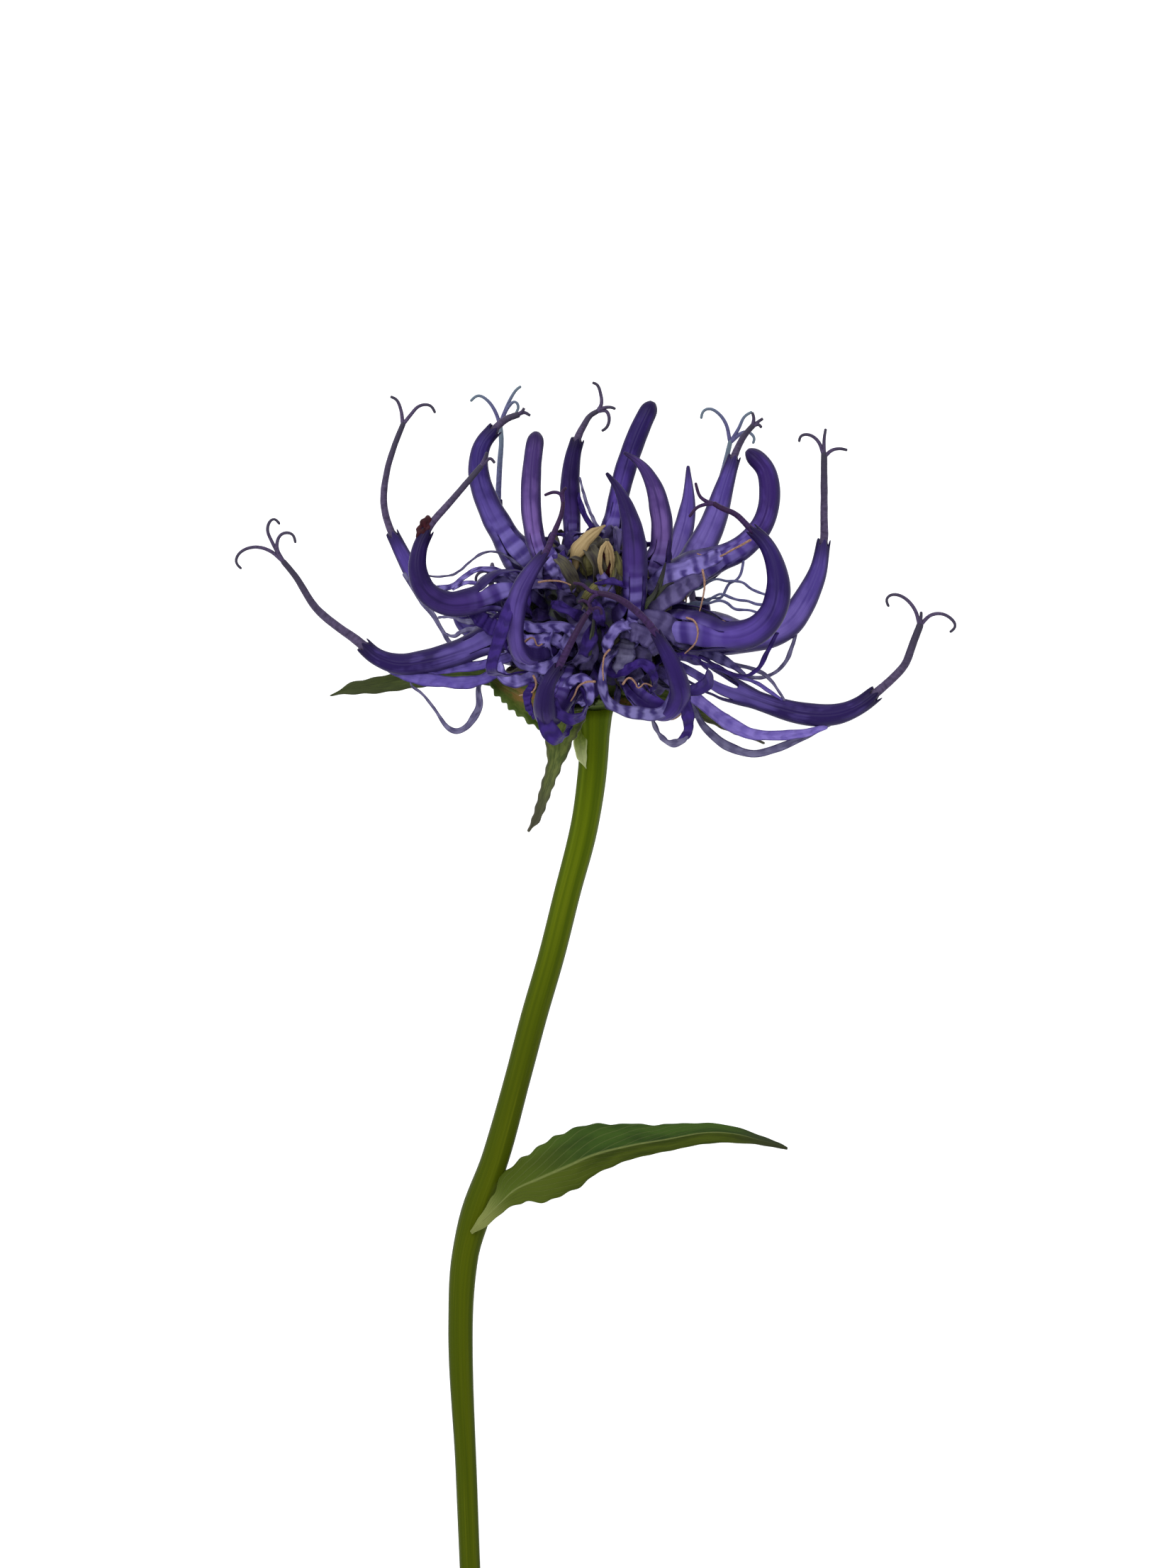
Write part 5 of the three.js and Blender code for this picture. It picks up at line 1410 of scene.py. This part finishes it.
# %% Crust on a mouth
deselect_all()
crust_centre = from_head([(-10.5, 5.9, 5.35)])[0]
bpy.ops.mesh.primitive_ico_sphere_add(subdivisions=4, radius=0.5 * MM, location=crust_centre)
crust = bpy.context.object
crust.name = "mouth_crust"
bpy.ops.object.transform_apply(location=True, rotation=True, scale=True)
along_mouth = Vector((0.45, 0.9, 0))
for vertex in crust.data.vertices:
    out = vertex.co - crust_centre
    grown = out * (0.75 + 0.7 * noise.noise(out / MM * 3)) + along_mouth * out.dot(along_mouth) * 0.6
    vertex.co = crust_centre + grown
placed(finished(crust, CRUST, smooth_levels=0))
print("crust faces:", len(crust.data.polygons))

# %% [markdown]
# ## Finishes of the green parts
# A stem has fine ridges along it, and is brighter near the head. A leaf is dark green above its
# midrib and yellow green below, with pale veins that leave the midrib at a slant. A bract is mottled
# green, and its margins and tip are dark.

# %% Stem and leaf finishes
def stem_finish():
    """Ridges in two greens, brighter near the head, with painted shade on the flanks and a dusty bloom."""
    finish, shader, around, along = new_finish("stem_skin", roughness=0.55, specular=0.04)
    ridge = stretched_noise(around, along, 9, 1.2)
    fine = stretched_noise(around, along, 40, 8)
    stripe = rise(ridge, 0.34, 0.62)
    low = mixed(stripe, srgb(72, 82, 2), srgb(58, 70, 0))
    high = mixed(stripe, srgb(92, 108, 6), srgb(70, 88, 0))
    colour = mixed(rise(along, 0.02, 0.4), high, low)
    # painted shade on the flanks, the stem's sides as seen from above
    flank = (around * math.tau).maths("COSINE").maths("ABSOLUTE")
    edged = mixed(rise(flank, 0.7, 1.0) * 0.5, colour, srgb(34, 46, 0))
    dusty = mixed(rise(fine, 0.5, 0.8) * 0.25, edged, srgb(102, 108, 20))
    connect(shader, dusty, ridge + fine * 0.3, depth_mm=0.08)
    return finish


def leaf_finish():
    """Two greens beside the midrib, slanting veins, a pale base and a dull tip."""
    finish, shader, around, along = new_finish("leaf_skin", roughness=0.6, specular=0.05)
    from_rib = off_centre(around)
    vein = 1 - rise(off_centre((along * 15 - from_rib * 9).maths("FRACT")), 0.0, 0.13)
    rib = 1 - rise(from_rib, 0.008, 0.035)
    cloud = stretched_noise(around, along, 3, 5, detail=4.0)
    mottle = rise(cloud, 0.35, 0.65)
    lower = mixed(mottle, srgb(64, 75, 17), srgb(44, 55, 10))
    upper = mixed(mottle, srgb(54, 76, 26), srgb(38, 56, 20))
    sides = mixed(rise(around, 0.46, 0.54), lower, upper)
    young = mixed((1 - rise(along, 0.2, 0.45)) * 0.7, sides, srgb(74, 86, 22))
    lined = mixed((vein * 0.18 + rib * 0.55).maths("MINIMUM", 1.0), young, srgb(120, 128, 74))
    tipped = mixed(rise(along, 0.8, 0.97) * 0.8, lined, srgb(50, 52, 38))
    colour = mixed((1 - rise(along, 0.04, 0.17)) * 0.8, tipped, srgb(128, 134, 76))
    connect(shader, colour, cloud * 0.5 - vein * 0.4 + rib * 0.5, depth_mm=0.1)
    return finish


STEM = stem_finish()
LEAF = leaf_finish()
print("finishes of stem and leaf:", STEM.name, LEAF.name)

# %% Bract finishes
def bract_finish(name, light, dark, tip, middle=None):
    """Mottled green with a paler midrib, and one colour on the margins and the tip."""
    finish, shader, around, along = new_finish(name, roughness=0.5, specular=0.12)
    from_rib = off_centre(around)
    margin = rise(from_rib, 0.34, 0.5)
    rib = 1 - rise(from_rib, 0.02, 0.07)
    cloud = stretched_noise(around, along, 6, 12, detail=4.0)
    body = mixed(rise(cloud, 0.36, 0.64), light, dark)
    if middle:  # a withered patch between green margins
        body = mixed((1 - rise(from_rib, 0.12, 0.34)) * rise(cloud, 0.3, 0.55), body, middle)
    edged = mixed(margin * 0.6, mixed(rib * 0.3, body, srgb(112, 126, 66)), tip)
    connect(shader, mixed(rise(along, 0.4, 0.95) * 0.85, edged, tip), cloud + rib * 0.5, depth_mm=0.08)
    return finish


GREEN_BRACT = bract_finish("bract_green", srgb(76, 90, 36), srgb(50, 64, 26), srgb(56, 62, 34))
DARK_BRACT = bract_finish("bract_dark", srgb(104, 114, 56), srgb(72, 86, 38), srgb(64, 60, 52))
RUSTY_BRACT = bract_finish(
    "bract_rusty", srgb(96, 108, 46), srgb(66, 84, 26), srgb(62, 82, 28), middle=srgb(152, 114, 64)
)
PALE_SCALE = bract_finish("bract_pale", srgb(118, 134, 52), srgb(92, 110, 26), srgb(190, 198, 142))
print("finishes in all:", len(bpy.data.materials))

# %% [markdown]
# ## Stem
# The stem is a closed tube along its own line, thicker at the head and at the leaf. Nine shallow
# ridges run along it. It runs on up into the involucre, as it does on the plant.

# %% Places and radii of the stem
STEM_LINE = [  # place and radius in mm, from the head to the cut
    (0.2, -5.2, 10.0, 1.2), (0.18, -6.2, 9.7, 1.02), (0.13, -7.4, 9.3, 0.95), (0.03, -9.2, 8.9, 0.92),
    (-0.5, -12.9, 8.2, 0.88), (-1.6, -17.2, 7.4, 0.84), (-2.6, -21.2, 6.7, 0.84), (-3.7, -25.0, 6.0, 0.84),
    (-4.7, -28.8, 5.3, 0.83), (-6.2, -34.2, 4.5, 0.88), (-7.4, -37.6, 4.0, 0.98), (-8.15, -40.5, 3.5, 0.86),
    (-8.45, -45.0, 2.9, 0.79), (-8.1, -54.5, 1.7, 0.68), (-7.85, -61.0, 1.05, 0.66),
    (-7.4, -71.0, 0.62, 0.62),
]
stem_line = [Vector(row[:3]) * MM for row in STEM_LINE]
stem_radii = [row[3] for row in STEM_LINE]


def shares_along(points):
    """How far along the polyline each point lies, from 0 to 1."""
    reached = [0.0]
    for a, b in zip(points, points[1:]):
        reached.append(reached[-1] + (b - a).length)
    return [r / reached[-1] for r in reached]


stem_shares = shares_along(stem_line)
print("stem length in mm:", round(sum((b - a).length for a, b in zip(stem_line, stem_line[1:])) / MM, 1))

# %% Stem
STEM_RIDGES = 9


def swell(tube, radius_at):
    """Sets the vertices of a tube at their radius in mm, by how far along and around they are."""
    for vertex in tube.data.vertices:
        turn = math.atan2(vertex.co.z, vertex.co.y)
        radius = radius_at(vertex.co.x, turn)
        vertex.co.y = math.cos(turn) * radius * MM
        vertex.co.z = math.sin(turn) * radius * MM


def stem_radius(along, turn):
    """The listed radius, with shallow ridges that wind a little."""
    ridge = 1 + 0.02 * math.cos(STEM_RIDGES * turn + 3 * along)
    return read_off(stem_shares, stem_radii, along) * ridge


stem = tube_blank("stem_skin", 36, 150)
swell(stem, stem_radius)
bend(stem, stem_line)
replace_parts(placed(finished(stem, STEM, smooth_levels=0)), "stem")
print("stem faces:", len(stem.data.polygons))

# %% [markdown]
# ## Leaf
# The leaf is one blade whose two halves have widths of their own. It is creased at the midrib, its
# margin is shallowly toothed and waved, and its base clasps the stem.

# %% Leaf
LEAF_LINE = [  # place of the midrib, then half-widths above and below it, in mm
    (-7.75, -38.95, 4.9, 0.1, 0.1), (-7.0, -38.2, 5.45, 0.38, 0.38), (-5.9, -37.1, 5.8, 0.8, 0.5),
    (-4.9, -36.2, 5.9, 1.75, 0.95), (-3.4, -35.5, 5.8, 2.2, 1.6), (-1.75, -34.8, 5.6, 2.5, 1.5),
    (0.15, -34.0, 5.3, 2.4, 1.05), (2.6, -33.4, 4.9, 1.85, 0.8), (4.7, -33.05, 4.5, 1.3, 0.72),
    (7.4, -32.6, 4.0, 0.8, 0.68), (9.2, -32.7, 3.7, 0.6, 0.55), (10.9, -33.15, 3.3, 0.4, 0.25),
    (12.0, -33.45, 3.1, 0.22, 0.14), (12.6, -33.65, 3.0, 0.05, 0.05),
]
LEAF_WALL_MM = 0.22
leaf_line = [Vector(row[:3]) * MM for row in LEAF_LINE]
leaf_shares = shares_along(leaf_line)
leaf = blade_blank("leaf_blade", 14, 110)
for vertex in leaf.data.vertices:
    x, y = vertex.co.x, vertex.co.y
    width = read_off(leaf_shares, [row[3] if y > 0 else row[4] for row in LEAF_LINE], x)
    tooth = 1 + 0.07 * abs(y) ** 4 * max(0, 1 - x) * (2 * abs((x * 17) % 1 - 0.5) - 0.5) * 2
    wave = 0.3 * y * abs(y) * math.sin(x * 16 + 1) * (1 - x)
    vertex.co.y = y * width * tooth * MM
    vertex.co.z = (-0.22 * abs(y) * width + wave * width * 0.6) * MM
bend(leaf, leaf_line, (0.05, 0.45, 0.9))
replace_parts(placed(finished(leaf, LEAF, thickness_mm=LEAF_WALL_MM)), "stem_leaf")
print("leaf faces:", len(leaf.data.polygons))

# %% [markdown]
# ## Involucre
# Under the head the stem widens to a shallow cup, and the bracts grow from its rim. The cup is a
# short tube along the head's axis, flared by a list of radii. Each bract is a creased blade with
# small teeth, and faces its own way.

# %% Cup
CUP_LINE = [tuple(AXIS * -6.4), tuple(AXIS * -4.6), tuple(AXIS * -3.2)]
CUP_STEPS = [0, 0.3, 0.5, 0.7, 0.85, 1]
CUP_RADII = [1.0, 1.15, 1.6, 2.3, 2.9, 3.2]


def cup_radius(along, turn):
    """The listed radius, with eight low ribs."""
    return read_off(CUP_STEPS, CUP_RADII, along) * (1 + 0.04 * math.cos(8 * turn))


cup = tube_blank("involucre_cup", 30, 14)
swell(cup, cup_radius)
bend(cup, from_head(CUP_LINE))
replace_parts(placed(finished(cup, GREEN_BRACT)), "involucre")
print("cup radii in mm:", CUP_RADII)

# %% Rows of the bracts
BRACTS = {  # points and half-widths in mm, where its face looks, and its finish
    "left": (
        [(-0.9, -4.7, -1.5), (-3.4, -3.9, -2.2), (-6.5, -3.4, -2.7), (-9.0, -3.3, -2.8),
         (-11.5, -3.55, -2.6), (-12.8, -3.75, -2.4), (-14.0, -3.95, -2.2), (-15.3, -4.1, -2.0),
         (-16.7, -4.56, -1.8)],
        [0.35, 0.5, 0.5, 0.5, 0.48, 0.56, 0.56, 0.45, 0.03], (0, 0.2, 1), GREEN_BRACT),
    "lower_left": (
        [(-0.7, -5.2, -0.7), (-2.2, -5.4, -0.2), (-3.6, -5.0, 0.0), (-5.0, -4.3, -0.2),
         (-6.7, -3.3, -0.6)],
        [0.9, 1.5, 1.6, 1.2, 0.8, 0.1], (0.1, 0.2, 0.95), RUSTY_BRACT),
    "hanging": (
        [(-1.0, -4.9, 0.4), (-1.7, -6.0, 1.2), (-2.15, -7.1, 1.6), (-2.25, -8.1, 1.9), (-2.45, -9.1, 2.1),
         (-2.8, -10.1, 2.2), (-3.2, -11.4, 2.2), (-3.55, -12.4, 2.1), (-4.05, -13.2, 2.0)],
        [0.8, 1.15, 1.1, 0.85, 0.48, 0.4, 0.34, 0.28, 0.06], (0.25, 0.1, 0.9), DARK_BRACT),
    "right": (
        [(1.0, -4.8, -0.8), (4.3, -4.7, -0.9), (6.9, -5.5, -0.8), (8.9, -6.5, -0.7), (11.0, -7.6, -0.6)],
        [0.6, 0.8, 0.7, 0.5, 0.04], (0, 0.4, 0.9), DARK_BRACT),
    "front_left": (
        [(-0.2, -4.9, 0.6), (-0.8, -5.4, 2.2), (-1.2, -5.5, 3.9)],
        [0.7, 0.9, 0.6, 0.05], (0, 1, 0.2), GREEN_BRACT),
    "front_right": (
        [(1.0, -4.8, 0.5), (2.3, -5.3, 2.0), (3.3, -5.5, 3.4)],
        [0.8, 1.0, 0.7, 0.05], (0, 1, 0.3), RUSTY_BRACT),
    "under_left": (
        [(-0.7, -4.4, -2.2), (-2.4, -5.2, -4.6), (-3.6, -5.2, -6.6), (-4.4, -5.4, -8.4)],
        [0.9, 1.1, 0.7, 0.05], (0.3, 0.9, -0.3), GREEN_BRACT),
    "under_right": (
        [(0.9, -4.4, -2.2), (2.6, -5.2, -4.4), (4.2, -5.4, -6.2), (5.4, -5.8, -7.8)],
        [0.9, 1.1, 0.7, 0.05], (-0.3, 0.9, -0.3), DARK_BRACT),
    "scale": (
        [(-0.45, -5.6, -1.0), (-0.6, -6.6, -1.05), (-0.7, -7.5, -1.1), (-0.65, -8.3, -1.2),
         (-0.35, -9.2, -1.3)],
        [0.4, 0.45, 0.48, 0.36, 0.04], (-0.2, 0, 1), PALE_SCALE),
}
print("bracts in the list:", len(BRACTS))

# %% Bracts
JAGGED = 0.12  # depth of the marginal teeth
OWN_JAGGED = {"scale": 0, "lower_left": 0.35}
BRACT_WALL_MM = 0.2
bract_blank = blade_blank("bract_blank", 8, 44)
for name, (points, widths, facing, finish) in BRACTS.items():
    bract = copied(bract_blank, f"bract_{name}")
    steps = even_steps(widths)
    jagged = OWN_JAGGED.get(name, JAGGED)
    for vertex in bract.data.vertices:
        x, y = vertex.co.x, vertex.co.y
        width = read_off(steps, widths, x)
        tooth = jagged * abs(y) ** 6 * (2 * abs((x * 11) % 1 - 0.5) - 0.3)
        vertex.co.y = y * (width + min(tooth, width * 0.3)) * MM
        vertex.co.z = width * (0.28 * abs(y) + 0.06 * math.sin(x * 30) * y) * MM
    bend(bract, from_head(points), facing)
    placed(finished(bract, finish, thickness_mm=BRACT_WALL_MM))
print("faces of a bract before it is smoothed:", len(bract_blank.data.polygons))

# %% [markdown]
# ## Tidy up
# The straight blanks have done their work and are removed, and the faces of all pieces are counted.

# %% Remove the blanks
blanks = [
    slit_blank, style_blank, stigma_blank, ribbon_blank, thread_blank, short_blank, tooth_blank, curl_blank,
    bract_blank,
]
for blank in blanks:
    bpy.data.objects.remove(blank)
print("blanks removed:", len(blanks))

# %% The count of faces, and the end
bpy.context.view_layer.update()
faces = sum(len(piece.data.polygons) for piece in bpy.data.objects if piece.type == "MESH")
print("faces in all:", faces)
